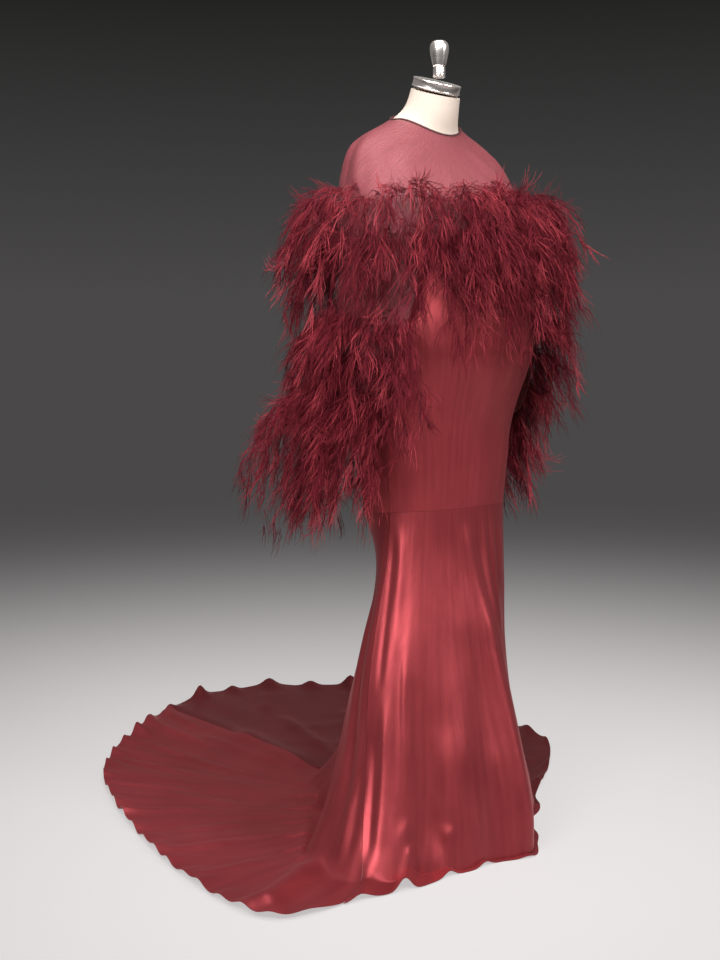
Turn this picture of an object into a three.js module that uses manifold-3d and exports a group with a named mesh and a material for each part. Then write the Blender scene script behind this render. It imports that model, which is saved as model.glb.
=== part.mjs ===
// Feather cape dress on a limbless dress form. Millimetres, +Z up, the wearer's front faces -Y and the
// wearer's left is +X. The origin is the centre of the stand's underside, on the floor.
//
// Directions round the body are in degrees from the front (-Y), growing towards the wearer's right (-X),
// so 90 is the right side, 180 the centre back and 270 the left side.

import * as THREE from 'three';
import { mergeVertices } from 'three/addons/utils/BufferGeometryUtils.js';
import Module from 'manifold-3d';

const wasm = await Module();
wasm.setup();

// ---------------------------------------------------------------- driving dimensions

const SEAM_GAP = 0.3;             // clear space between two sewn pieces
const SEAM_SLACK = 0.1;           // more room at each side of a slanted seam
const SATIN = 1.8;                // wall of the gown
const TULLE = 1.2;                // wall of the cape
const GOWN_TOP = 1365;            // top edge of the gown
const FLARE_SEAM = 722;           // height of the seam where the skirt flares out
const FLARE_SEAM_LIFT = 10;       // how much higher that seam runs in front
const FLOOR_LAY = 0.2;            // underside of the cloth that lies on the floor
const SKIRT_TOP = 700;            // height below which the skirt's own sections shape the cloth
const SKIRT_BLEND = 60;           // how far above that the gown's sections still guide them
const SEAM_RADIUS = 130;          // least distance from the axis at which a seam's gap is measured

// Gown sections: half width, depth in front of the axis, depth behind it.
const GOWN_SECTIONS = [
  { z: 1400, half: 156, front: 112, back: 100 },
  { z: 1330, half: 164, front: 148, back: 106 },
  { z: 1270, half: 172, front: 176, back: 104 },
  { z: 1210, half: 182, front: 190, back: 96 },
  { z: 1150, half: 196, front: 212, back: 90 },
  { z: 1100, half: 202, front: 217, back: 94 },
  { z: 1060, half: 202, front: 214, back: 98 },
  { z: 1020, half: 198, front: 200, back: 104 },
  { z: 980, half: 194, front: 184, back: 112 },
  { z: 945, half: 192, front: 165, back: 118 },
  { z: 910, half: 190, front: 152, back: 122 },
  { z: 855, half: 188, front: 148, back: 127 },
  { z: 800, half: 186, front: 144, back: 131 },
  { z: 760, half: 183, front: 140, back: 130 },
  { z: 730, half: 179, front: 138, back: 126 },
  { z: 700, half: 174, front: 140, back: 117 },
];

// Skirt sections: distance from the axis in nine directions round the body.
const SKIRT_DIRECTIONS = [0, 35, 70, 100, 131, 180, 235, 290, 325];
const SKIRT_SECTIONS = [
  { z: 600, radius: [152, 164, 198, 134, 112, 100, 118, 170, 155] },
  { z: 500, radius: [180, 195, 234, 156, 126, 128, 138, 174, 157] },
  { z: 400, radius: [206, 225, 274, 178, 145, 160, 166, 180, 160] },
  { z: 300, radius: [240, 256, 302, 202, 162, 198, 204, 194, 166] },
  { z: 200, radius: [274, 290, 326, 228, 182, 240, 250, 220, 174] },
  { z: 100, radius: [302, 308, 374, 254, 202, 286, 300, 250, 190] },
  { z: 0, radius: [309, 330, 446, 300, 234, 380, 360, 278, 216] },
];

// Hem on the floor: distance from the axis in each direction. The train is the long stretch behind.
const HEM = [
  { deg: 0, radius: 312 },
  { deg: 10, radius: 300 },
  { deg: 22, radius: 304 },
  { deg: 36, radius: 358 },
  { deg: 46, radius: 425 },
  { deg: 54, radius: 470 },
  { deg: 62, radius: 545 },
  { deg: 69, radius: 662 },
  { deg: 80, radius: 660 },
  { deg: 96, radius: 642 },
  { deg: 118, radius: 668 },
  { deg: 137, radius: 757 },
  { deg: 146, radius: 829 },
  { deg: 161, radius: 935 },
  { deg: 173, radius: 1030 },
  { deg: 184, radius: 1142 },
  { deg: 197, radius: 1205 },
  { deg: 208, radius: 1130 },
  { deg: 222, radius: 970 },
  { deg: 236, radius: 810 },
  { deg: 248, radius: 688 },
  { deg: 254, radius: 645 },
  { deg: 260, radius: 540 },
  { deg: 268, radius: 430 },
  { deg: 280, radius: 320 },
  { deg: 296, radius: 254 },
  { deg: 312, radius: 224 },
  { deg: 328, radius: 222 },
  { deg: 342, radius: 246 },
  { deg: 353, radius: 290 },
];

// Side seams and centre back seam: direction at each height. The left side is its mirror image.
const SIDE_SEAM = [
  { z: 1400, deg: 76 },
  { z: 600, deg: 74 },
  { z: 380, deg: 72 },
  { z: 180, deg: 68 },
  { z: 80, deg: 65 },
  { z: 0, deg: 62 },
];
const CENTRE_BACK = 180;

// Large folds of the skirt: direction at the flare seam and at the floor, height out of the cloth,
// half width in degrees, and the height where the fold starts. FOLD_RISE is the height over which a fold
// grows to its full size, FOLD_SPREAD the half widths it is followed out to.
const FOLD_RISE = 260;
const FOLD_SPREAD = 2.6;
const FOLDS = [
  { top: 352, hem: 3, out: 16, half: 9, start: 690 },
  { top: 334, hem: 340, out: 6, half: 6, start: 690 },
  { top: 345, hem: 352, out: -10, half: 6, start: 640 },
  { top: 12, hem: 14, out: -16, half: 9, start: 520 },
  { top: 30, hem: 33, out: 14, half: 8, start: 470 },
  { top: 44, hem: 47, out: -22, half: 7, start: 360 },
  { top: 58, hem: 55, out: 16, half: 6, start: 420 },
  { top: 88, hem: 76, out: -20, half: 8, start: 430 },
  { top: 100, hem: 88, out: 20, half: 8, start: 560 },
  { top: 118, hem: 108, out: -14, half: 9, start: 480 },
  { top: 140, hem: 137, out: 7, half: 9, start: 560 },
  { top: 160, hem: 158, out: -14, half: 9, start: 520 },
  { top: 180, hem: 180, out: 16, half: 9, start: 600 },
  { top: 202, hem: 204, out: -14, half: 10, start: 520 },
  { top: 222, hem: 226, out: 15, half: 9, start: 560 },
  { top: 244, hem: 250, out: -16, half: 9, start: 480 },
  { top: 264, hem: 270, out: 18, half: 8, start: 540 },
  { top: 284, hem: 290, out: -14, half: 8, start: 430 },
  { top: 306, hem: 310, out: 6, half: 8, start: 500 },
];

// Levels of the skirt's rows above the floor, and how far out the train's rows lie from bend to hem.
const SKIRT_LEVELS = [0, 75, 155, 240, 325, 410, 490, 560, 620, 668, 700];
const TRAIN_STEPS = [0, 0.2, 0.5, 0.82, 1];
const BODICE_ROWS = 11;
const LEAST_FLANGE = 14;          // cloth that turns out at the hem where there is no train
const SEAM_START = 0.005;         // the skirt starts this part of a row below the flare seam
// The train's edge: count and height of its waves, and of the low ripples before them. full is the
// length of train from which both reach their whole height.
const TRAIN_WAVES = { count: 30, height: 20, swing: 0.25, ripples: 9, ripple: 5, full: 260 };

// Cape yoke rings from the neckline down: half width, half depth, centre, and height at side, front, back.
const YOKE_RINGS = [
  { half: 84, depth: 65, centre: 25, side: 1571, front: 1539, back: 1594 },
  { half: 122, depth: 76, centre: 29, side: 1553, front: 1512, back: 1573 },
  { half: 160, depth: 91, centre: 29, side: 1538, front: 1485, back: 1549 },
  { half: 196, depth: 109, centre: 26, side: 1512, front: 1458, back: 1516 },
  { half: 217, depth: 130, centre: 18, side: 1470, front: 1428, back: 1474 },
  { half: 233, depth: 155, centre: 6, side: 1410, front: 1394, back: 1412 },
  { half: 240, depth: 178, centre: -10, side: 1356, front: 1350, back: 1358 },
  { half: 245, depth: 200, centre: -26, side: 1296, front: 1296, back: 1296 },
];

const CAPE_COLUMNS = 34;          // columns round the closed yoke
const FALL_COLUMNS = 28;          // columns across the open fall
const BINDING = { rows: [-0.04, 0.1], wall: 2 };    // from just over the neckline to just below it

// Cape fall: half width, depth before and behind the axis, the direction of the front edge.
const FALL_SECTIONS = [
  { z: 1295, half: 245, front: 226, back: 174, edge: 47 },
  { z: 1230, half: 242, front: 232, back: 172, edge: 50 },
  { z: 1160, half: 240, front: 236, back: 170, edge: 54 },
  { z: 1090, half: 238, front: 238, back: 170, edge: 58 },
  { z: 1030, half: 236, front: 228, back: 174, edge: 63 },
  { z: 970, half: 236, front: 210, back: 182, edge: 70 },
  { z: 925, half: 238, front: 195, back: 190, edge: 77 },
];

// Feather rows. level: where on the cape the strip lies. out, up, drop: how far the locks stand away,
// rise first and hang down. reach, fall: how early a lock gets out and how late it drops.
const FEATHER_ROWS = [
  {
    name: 'tier1_upper', on: 'yoke', level: 5.2, count: 30,
    out: 142, up: 16, drop: 205, reach: 1.6, fall: 1.7,
  },
  {
    name: 'tier1_lower', on: 'yoke', level: 6.4, count: 27,
    out: 72, up: 2, drop: 205, reach: 1.6, fall: 1.6,
  },
  {
    name: 'tier2_upper', on: 'fall', level: 2.6, count: 21,
    out: 104, up: 8, drop: 125, reach: 1.8, fall: 1.7,
  },
  {
    name: 'tier2_lower', on: 'fall', level: 3.5, count: 19,
    out: 58, up: 0, drop: 72, reach: 1.5, fall: 1.4,
  },
  {
    name: 'tier3_upper', on: 'fall', level: 5.1, count: 22,
    out: 196, up: 0, drop: 300, reach: 1.9, fall: 2.1,
  },
  {
    name: 'tier3_lower', on: 'fall', level: 5.8, count: 20,
    out: 116, up: 0, drop: 310, reach: 1.5, fall: 1.4,
  },
];
// The locks beside the cape's open front, by row: how much longer, how much further out, how far they
// lean forward, and the degrees over which they change back to the others.
const FRONT_ENDS = {
  tier2_upper: { longer: 2.4, wider: 1, splay: 62, span: 19 },
  tier2_lower: { longer: 3.4, wider: 1, splay: 40, span: 19 },
  tier3_upper: { longer: 0.74, wider: 0.42, splay: 20, span: 52 },
  tier3_lower: { longer: 0.72, wider: 0.4, splay: 8, span: 52 },
};
const PLAIN_ENDS = { longer: 1, wider: 1, splay: 0, span: 1 };
const END_LOCK = 4;               // degrees from the front edge within which a lock is fully an end lock
const LOCK_WIDTH = 16;
const LOCK_SIDES = 3;
const LOCK_SECTIONS = [           // share of the lock's length from its root, share of its width
  { along: 0, width: 0.42 },
  { along: 0.3, width: 1 },
  { along: 0.7, width: 0.8 },
  { along: 1, width: 0.12 },
];
const LOCK_SWAY = { out: 0.14, up: 0.5, drop: 0.11, drift: 13 };  // unevenness: three shares and one length
const BACK_SHARE = 0.16;          // locks behind stand out by this share more, and in front by it less
const STRIP_HEIGHT = 9;
const STRIP_THICKNESS = 3;
const STRIP_CLEAR = 2;
const STRIP_INSET = 1.5;          // degrees from the fall's front edge to a strip's end
const LEVEL_HEIGHT = { yoke: 58, fall: 62 };        // cloth between two levels of each layer
const ROOT_DEPTH = 1.2;           // how far a lock's root goes into its strip

// Dress form: lofted rings with their centre's distance behind the axis and their forward tilt.
const FORM_RINGS = [
  { z: 792, half: 150, depth: 104, centre: -4, tilt: 0 },
  { z: 850, half: 168, depth: 116, centre: -8, tilt: 0 },
  { z: 930, half: 170, depth: 118, centre: -14, tilt: 0 },
  { z: 1010, half: 172, depth: 130, centre: -36, tilt: 0 },
  { z: 1090, half: 180, depth: 138, centre: -58, tilt: 0 },
  { z: 1160, half: 172, depth: 130, centre: -56, tilt: 0 },
  { z: 1230, half: 156, depth: 120, centre: -42, tilt: 0 },
  { z: 1300, half: 148, depth: 112, centre: -18, tilt: 0 },
  { z: 1370, half: 142, depth: 92, centre: 4, tilt: 0 },
  { z: 1420, half: 176, depth: 96, centre: 12, tilt: 0 },
  { z: 1462, half: 187, depth: 88, centre: 20, tilt: 8 },
  { z: 1492, half: 180, depth: 76, centre: 26, tilt: 12 },
  { z: 1518, half: 148, depth: 70, centre: 28, tilt: 17 },
  { z: 1543, half: 110, depth: 69, centre: 28, tilt: 21 },
  { z: 1568, half: 79, depth: 58, centre: 23, tilt: 24 },
  { z: 1590, half: 61, depth: 54, centre: 6, tilt: 20 },
  { z: 1632, half: 56, depth: 52, centre: -5, tilt: 18 },
];
const FORM_SIDES = 24;
const NECK_CAP = { half: 55, depth: 52, height: 20, z: 1647.5, y: -8, tilt: 19 };
const ARMPLATE = { half: 30, height: 38, thickness: 6, x: 190, y: 20, z: 1466 };
const FINIAL_Y = -16;
// The knob's outline from its foot up: a straight shank, a groove, and a pear that is widest near its top.
const FINIAL_PROFILE = [
  { radius: 12.5, z: 1664 },
  { radius: 13.1, z: 1665 },
  { radius: 13.3, z: 1685 },
  { radius: 12.5, z: 1686 },
  { radius: 12.5, z: 1687.5 },
  { radius: 13.9, z: 1688.5 },
  { radius: 17.2, z: 1701 },
  { radius: 19.8, z: 1716 },
  { radius: 20.8, z: 1727 },
  { radius: 19.6, z: 1734 },
  { radius: 15.5, z: 1740 },
  { radius: 8.5, z: 1743 },
  { radius: 0, z: 1743.5 },
];
const POLE_RADIUS = 15;
// The base's outline from its rim to the collar round the pole.
const BASE_PROFILE = [
  { radius: 165, z: 0 },
  { radius: 165, z: 5 },
  { radius: 159, z: 9 },
  { radius: 60, z: 14 },
  { radius: 26, z: 24 },
];

// ---------------------------------------------------------------- small helpers

const rad = (deg) => (deg * Math.PI) / 180;
const wrap = (deg) => ((deg % 360) + 360) % 360;
const turnBetween = (from, to) => wrap(to - from + 180) - 180;
const smooth = (t) => {
  const c = Math.min(1, Math.max(0, t));
  return c * c * (3 - 2 * c);
};

// Smooth curve through points (x rising, y): a Hermite spline with averaged slopes.
function spline(xs, ys, x) {
  const last = xs.length - 1;
  let k = 0;
  while (k < last - 1 && x > xs[k + 1]) k += 1;
  const slope = (i) => {
    const a = Math.max(0, i - 1);
    const b = Math.min(last, i + 1);
    return (ys[b] - ys[a]) / (xs[b] - xs[a]);
  };
  const width = xs[k + 1] - xs[k];
  const t = Math.min(1, Math.max(0, (x - xs[k]) / width));
  const t2 = t * t;
  const t3 = t2 * t;
  return (2 * t3 - 3 * t2 + 1) * ys[k] + (t3 - 2 * t2 + t) * width * slope(k)
    + (3 * t2 - 2 * t3) * ys[k + 1] + (t3 - t2) * width * slope(k + 1);
}

// The same round a full turn.
function turnSpline(degs, values, deg) {
  const n = degs.length;
  const xs = [];
  const ys = [];
  for (let k = -2; k < n + 2; k += 1) {
    const i = ((k % n) + n) % n;
    xs.push(degs[i] + 360 * Math.floor(k / n));
    ys.push(values[i]);
  }
  return spline(xs, ys, wrap(deg));
}

const column = (rows, key) => rows.map((row) => row[key]);

// A table with a z column, read smoothly at any height.
function atHeight(rows, key, z) {
  const up = [...rows].sort((a, b) => a.z - b.z);
  return spline(column(up, 'z'), column(up, key), z);
}

const polar = (radius, deg, z) => (
  new THREE.Vector3(-radius * Math.sin(rad(deg)), -radius * Math.cos(rad(deg)), z)
);

// Distance from the axis to an oval, in a direction.
function ovalRadius(half, front, back, deg) {
  const depth = (front + back) / 2;
  const centre = (back - front) / 2;
  const s = Math.sin(rad(deg)) / half;
  const c = Math.cos(rad(deg)) / depth;
  const offset = centre / depth;
  const a = s * s + c * c;
  const b = 2 * c * offset;
  return (-b + Math.sqrt(b * b - 4 * a * (offset * offset - 1))) / (2 * a);
}

// A closed body from an outer and an inner grid of points, rows going down and columns going round
// towards the wearer's right. A closed grid joins its last column to its first.
function shell(outer, inner, closed) {
  const rows = outer.length;
  const cols = outer[0].length;
  const positions = [...outer.flat(), ...inner.flat()].flatMap((p) => [p.x, p.y, p.z]);
  const out = (i, j) => i * cols + (j % cols);
  const inn = (i, j) => rows * cols + i * cols + (j % cols);
  const index = [];
  const quad = (a, b, c, d) => index.push(a, b, c, a, c, d);
  const spans = closed ? cols : cols - 1;
  for (let i = 0; i < rows - 1; i += 1) {
    for (let j = 0; j < spans; j += 1) {
      quad(out(i, j), out(i, j + 1), out(i + 1, j + 1), out(i + 1, j));
      quad(inn(i, j), inn(i + 1, j), inn(i + 1, j + 1), inn(i, j + 1));
    }
    if (!closed) {
      quad(out(i, 0), out(i + 1, 0), inn(i + 1, 0), inn(i, 0));
      quad(out(i, cols - 1), inn(i, cols - 1), inn(i + 1, cols - 1), out(i + 1, cols - 1));
    }
  }
  for (let j = 0; j < spans; j += 1) {
    quad(out(0, j), inn(0, j), inn(0, j + 1), out(0, j + 1));
    quad(out(rows - 1, j), out(rows - 1, j + 1), inn(rows - 1, j + 1), inn(rows - 1, j));
  }
  return facingOut(geometryOf(positions, index));
}

function geometryOf(positions, index) {
  const geometry = new THREE.BufferGeometry();
  geometry.setAttribute('position', new THREE.Float32BufferAttribute(positions, 3));
  geometry.setIndex(index);
  return geometry;
}

// The faces between rings of points, each ring with the same count of sides.
function ringFaces(rings, sides) {
  const index = [];
  for (let i = 0; i < rings - 1; i += 1) {
    for (let k = 0; k < sides; k += 1) {
      const a = i * sides + k;
      const b = i * sides + ((k + 1) % sides);
      index.push(a, b, b + sides, a, b + sides, a + sides);
    }
  }
  return index;
}

// Turns the faces round if the body's volume comes out negative.
function facingOut(geometry) {
  const p = geometry.attributes.position;
  const index = geometry.index.array;
  const [a, b, c] = [new THREE.Vector3(), new THREE.Vector3(), new THREE.Vector3()];
  let volume = 0;
  for (let k = 0; k < index.length; k += 3) {
    a.fromBufferAttribute(p, index[k]);
    b.fromBufferAttribute(p, index[k + 1]);
    c.fromBufferAttribute(p, index[k + 2]);
    volume += a.dot(b.cross(c));
  }
  if (volume < 0) geometry.setIndex([...index].reverse());
  return geometry;
}

// A cloth wall on a surface point(deg, row). lift moves it out of the surface, wall is its thickness.
function clothWall({ point, degsAt, rows, closed, wall, lift = 0, low = -Infinity }) {
  const outer = [];
  const inner = [];
  const step = 0.05;
  for (const row of rows) {
    const degs = degsAt(row);
    const outerRow = [];
    const innerRow = [];
    for (const deg of degs) {
      const across = point(deg + 0.5, row).sub(point(deg - 0.5, row));
      const down = point(deg, row + step).sub(point(deg, row - step));
      const normal = across.cross(down).normalize();
      const p = point(deg, row);
      const nearSide = p.clone().addScaledVector(normal, lift);
      const farSide = p.clone().addScaledVector(normal, lift + wall);
      nearSide.z = Math.max(low, nearSide.z);
      outerRow.push(farSide);
      innerRow.push(nearSide);
    }
    outer.push(outerRow);
    inner.push(innerRow);
  }
  return shell(outer, inner, closed);
}

const range = (from, to, count) => (
  Array.from({ length: count + 1 }, (_, k) => from + ((to - from) * k) / count)
);

const object = new THREE.Group();

function add(name, geometry, material) {
  const mesh = new THREE.Mesh(geometry, material);
  mesh.name = name;
  object.add(mesh);
  return mesh;
}

// ---------------------------------------------------------------- gown

const satin = () => new THREE.MeshStandardMaterial({ color: 0x8b343a, roughness: 0.34, metalness: 0 });
const tulle = () => new THREE.MeshStandardMaterial({ color: 0xb4505e, roughness: 0.8, metalness: 0 });
const feather = () => new THREE.MeshStandardMaterial({ color: 0x7a2630, roughness: 0.85, metalness: 0 });
const canvas = () => new THREE.MeshStandardMaterial({ color: 0xeee2d6, roughness: 0.9, metalness: 0 });
const chrome = () => new THREE.MeshStandardMaterial({ color: 0xd8dadc, roughness: 0.12, metalness: 1 });
const paint = () => new THREE.MeshStandardMaterial({ color: 0x2a2a2c, roughness: 0.5, metalness: 0.4 });

function bodyRadius(z, deg) {
  const read = (key) => atHeight(GOWN_SECTIONS, key, z);
  return ovalRadius(read('half'), read('front'), read('back'), deg);
}

const skirtHeights = [...column(SKIRT_SECTIONS, 'z').reverse(), SKIRT_TOP, SKIRT_TOP + SKIRT_BLEND];

function skirtRadius(z, deg) {
  const radii = SKIRT_SECTIONS.map((row) => turnSpline(SKIRT_DIRECTIONS, row.radius, deg)).reverse();
  radii.push(bodyRadius(SKIRT_TOP, deg), bodyRadius(SKIRT_TOP + SKIRT_BLEND, deg));
  return spline(skirtHeights, radii, z);
}

function foldRelief(z, deg) {
  let relief = 0;
  for (const fold of FOLDS) {
    const centre = fold.top + turnBetween(fold.top, fold.hem) * (1 - z / SKIRT_TOP);
    const away = Math.abs(turnBetween(centre, deg)) / fold.half;
    if (away < FOLD_SPREAD) {
      relief += fold.out * Math.exp(-away * away) * smooth((fold.start - z) / FOLD_RISE);
    }
  }
  return relief;
}

function gownRadius(z, deg) {
  if (z >= SKIRT_TOP) return bodyRadius(z, deg);
  return skirtRadius(z, deg) + foldRelief(z, deg);
}

const hemRadius = (deg) => turnSpline(column(HEM, 'deg'), column(HEM, 'radius'), deg);
const flareSeam = (deg) => FLARE_SEAM + FLARE_SEAM_LIFT * Math.cos(rad(deg));

// The train's cloth: flat on the floor, waving more and more towards its edge.
function trainHeight(share, deg, reach) {
  const edge = smooth((share - 0.5) / 0.5);
  const swing = 1 - TRAIN_WAVES.swing + TRAIN_WAVES.swing * Math.sin(rad(2.6 * deg));
  const wave = 0.5 - 0.5 * Math.cos(rad(TRAIN_WAVES.count * deg) + 0.6 * Math.sin(rad(7 * deg)));
  const long = smooth(reach / TRAIN_WAVES.full);
  const low = Math.sin(rad(TRAIN_WAVES.ripples * deg)) ** 2;
  const ripple = TRAIN_WAVES.ripple * low * smooth(share / 0.4) * long;
  return FLOOR_LAY + (TRAIN_WAVES.height * wave * swing * edge + ripple) * long;
}

// A point of the skirt. Row 0 is the flare seam, whole rows follow SKIRT_LEVELS, then TRAIN_STEPS.
const BEND_ROW = SKIRT_LEVELS.length - 1;
const HEM_ROW = BEND_ROW + TRAIN_STEPS.length - 1;

function readStep(steps, value) {
  const k = Math.min(steps.length - 2, Math.max(0, Math.floor(value)));
  return steps[k] + (steps[k + 1] - steps[k]) * (value - k);
}

function skirtPoint(deg, row) {
  const top = flareSeam(deg);
  if (row <= BEND_ROW) {
    const drop = (readStep(SKIRT_LEVELS, row) / SKIRT_TOP) * (top - FLOOR_LAY);
    const z = top - drop;
    return polar(gownRadius(z, deg), deg, z);
  }
  const share = readStep(TRAIN_STEPS, row - BEND_ROW);
  const bend = gownRadius(FLOOR_LAY, deg);
  const reach = Math.max(LEAST_FLANGE, hemRadius(deg) - bend);
  return polar(bend + reach * share, deg, trainHeight(share, deg, reach));
}

function skirtHeight(row) {
  if (row > BEND_ROW) return 0;
  return SKIRT_TOP - readStep(SKIRT_LEVELS, row);
}

const rightSeam = (z) => atHeight(SIDE_SEAM, 'deg', z);
const leftSeam = (z) => 360 - rightSeam(z);

// Half of the seam gap, as an angle at a given distance from the axis.
const gapAngle = (radius) => THREE.MathUtils.radToDeg((SEAM_GAP / 2 + SEAM_SLACK) / radius);

// The directions of count columns from seam to seam, half a gap inside each of them.
function seamToSeam(from, to, count, radius) {
  const inset = gapAngle(radius);
  return range(from + inset, to - inset, count);
}

function addSkirt() {
  const rows = range(0, HEM_ROW, HEM_ROW);
  rows[0] = SEAM_START;
  const pieces = [
    { name: 'skirt_front', from: (z) => leftSeam(z) - 360, to: rightSeam, columns: 26 },
    { name: 'skirt_back_right', from: rightSeam, to: () => CENTRE_BACK, columns: 31 },
    { name: 'skirt_back_left', from: () => CENTRE_BACK, to: leftSeam, columns: 31 },
  ];
  for (const { name, from, to, columns } of pieces) {
    const degsAt = (row) => {
      const z = skirtHeight(row);
      return seamToSeam(from(z), to(z), columns, Math.max(SEAM_RADIUS, gownRadius(z, 90)));
    };
    add(name, clothWall({ point: skirtPoint, degsAt, rows, closed: false, wall: SATIN, low: 0 }), satin());
  }
}

// Upper gown: row 0 is the top edge, the last row stops just above the flare seam.
function bodicePoint(deg, row) {
  const bottom = flareSeam(deg) + SEAM_GAP;
  const z = GOWN_TOP + ((bottom - GOWN_TOP) * row) / BODICE_ROWS;
  return polar(gownRadius(z, deg), deg, z);
}

function addBodice() {
  const rows = range(0, BODICE_ROWS, BODICE_ROWS);
  const heightAt = (row) => GOWN_TOP + ((FLARE_SEAM - GOWN_TOP) * row) / BODICE_ROWS;
  const pieces = [
    { name: 'gown_front', from: (z) => leftSeam(z) - 360, to: rightSeam, columns: 18 },
    { name: 'gown_back', from: rightSeam, to: leftSeam, columns: 18 },
  ];
  for (const { name, from, to, columns } of pieces) {
    const degsAt = (row) => seamToSeam(from(heightAt(row)), to(heightAt(row)), columns, SEAM_RADIUS);
    add(name, clothWall({ point: bodicePoint, degsAt, rows, closed: false, wall: SATIN }), satin());
  }
}

// ---------------------------------------------------------------- cape

// A point of the yoke. Whole rows are the rings of the table; row and deg may lie between.
function yokePoint(deg, row) {
  const rowsOf = YOKE_RINGS.map((_, k) => k);
  const read = (key) => spline(rowsOf, column(YOKE_RINGS, key), row);
  const s = Math.sin(rad(deg));
  const c = Math.cos(rad(deg));
  const front = read('front');
  const back = read('back');
  const z = read('side') * s * s + (c > 0 ? front : back) * c * c;
  return new THREE.Vector3(-read('half') * s, read('centre') - read('depth') * c, z);
}

function addYoke() {
  const last = YOKE_RINGS.length - 1;
  const degsAt = () => range(0, 360, CAPE_COLUMNS).slice(0, -1);
  const rows = range(0, last, last);
  add('cape_yoke', clothWall({ point: yokePoint, degsAt, rows, closed: true, wall: TULLE }), tulle());
  const binding = clothWall({
    point: yokePoint, degsAt, rows: BINDING.rows, closed: true, wall: BINDING.wall, lift: TULLE + SEAM_GAP,
  });
  add('cape_neck_binding', binding, tulle());
}

// A point of the fall, the longer layer that hangs below the yoke and is open in front.
function fallPoint(deg, row) {
  const rowsOf = FALL_SECTIONS.map((_, k) => k);
  const read = (key) => spline(rowsOf, column(FALL_SECTIONS, key), row);
  return polar(ovalRadius(read('half'), read('front'), read('back'), deg), deg, read('z'));
}

function fallEdge(row) {
  return spline(FALL_SECTIONS.map((_, k) => k), column(FALL_SECTIONS, 'edge'), row);
}

function addFall() {
  const last = FALL_SECTIONS.length - 1;
  const degsAt = (row) => range(fallEdge(row), 360 - fallEdge(row), FALL_COLUMNS);
  const rows = range(0, last, last);
  add('cape_fall', clothWall({ point: fallPoint, degsAt, rows, closed: false, wall: TULLE }), tulle());
}

// ---------------------------------------------------------------- feathers

// Even-looking but uneven numbers between -1 and 1 for lock k.
const sway = (k, seed) => Math.sin(k * 2.399 + seed * 1.7) * 0.62 + Math.sin(k * 5.13 + seed) * 0.38;

// One lock: a three-sided tapering curl from its root inside the strip.
function lockGeometry(root, outward, along, row, k, seed, end, towardsFront) {
  const { longer, wider, splay } = FRONT_ENDS[row.name] ?? PLAIN_ENDS;
  const uneven = (share, turn) => 1 + share * sway(k, seed + turn);
  const behind = 1 + BACK_SHARE * outward.y;
  const out = row.out * behind * (1 + (wider - 1) * end) * uneven(LOCK_SWAY.out, 0);
  const up = row.up * uneven(LOCK_SWAY.up, 3);
  const drop = row.drop * (1 + (longer - 1) * end) * uneven(LOCK_SWAY.drop, 7);
  const drift = LOCK_SWAY.drift * sway(k, seed + 11) + splay * end * towardsFront;
  const start = root.clone().addScaledVector(outward, -ROOT_DEPTH);
  const pointAt = (t) => start.clone()
    .addScaledVector(outward, out * (1 - (1 - t) ** row.reach))
    .addScaledVector(along, drift * t)
    .add(new THREE.Vector3(0, 0, up * Math.sin(Math.PI * Math.min(1, t * 1.25)) - drop * t ** row.fall));
  const positions = [];
  for (const section of LOCK_SECTIONS) {
    const t = section.along;
    const p = pointAt(t);
    const ahead = pointAt(Math.min(1, t + 0.02)).sub(pointAt(Math.max(0, t - 0.02))).normalize();
    const side = along.clone().addScaledVector(ahead, -along.dot(ahead)).normalize();
    const over = new THREE.Vector3().crossVectors(ahead, side);
    const half = (LOCK_WIDTH / 2) * section.width;
    for (let s = 0; s < LOCK_SIDES; s += 1) {
      const turn = rad(90 + (360 / LOCK_SIDES) * s);
      positions.push(p.clone()
        .addScaledVector(side, half * Math.cos(turn))
        .addScaledVector(over, half * 0.7 * Math.sin(turn)));
    }
  }
  const index = ringFaces(LOCK_SECTIONS.length, LOCK_SIDES);
  const tip = (LOCK_SECTIONS.length - 1) * LOCK_SIDES;
  index.push(0, 2, 1, tip, tip + 1, tip + 2);
  return facingOut(geometryOf(positions.flatMap((p) => [p.x, p.y, p.z]), index));
}

function manifoldOf(geometry) {
  const bare = new THREE.BufferGeometry();
  bare.setAttribute('position', geometry.attributes.position.clone());
  bare.setIndex(geometry.index.clone());
  const merged = mergeVertices(bare, 1e-4);
  return new wasm.Manifold(new wasm.Mesh({
    numProp: 3,
    vertProperties: Float32Array.from(merged.attributes.position.array),
    triVerts: Uint32Array.from(merged.index.array),
  }));
}

function geometryFrom(solid) {
  const mesh = solid.getMesh();
  return geometryOf(Array.from(mesh.vertProperties), Array.from(mesh.triVerts));
}

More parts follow.
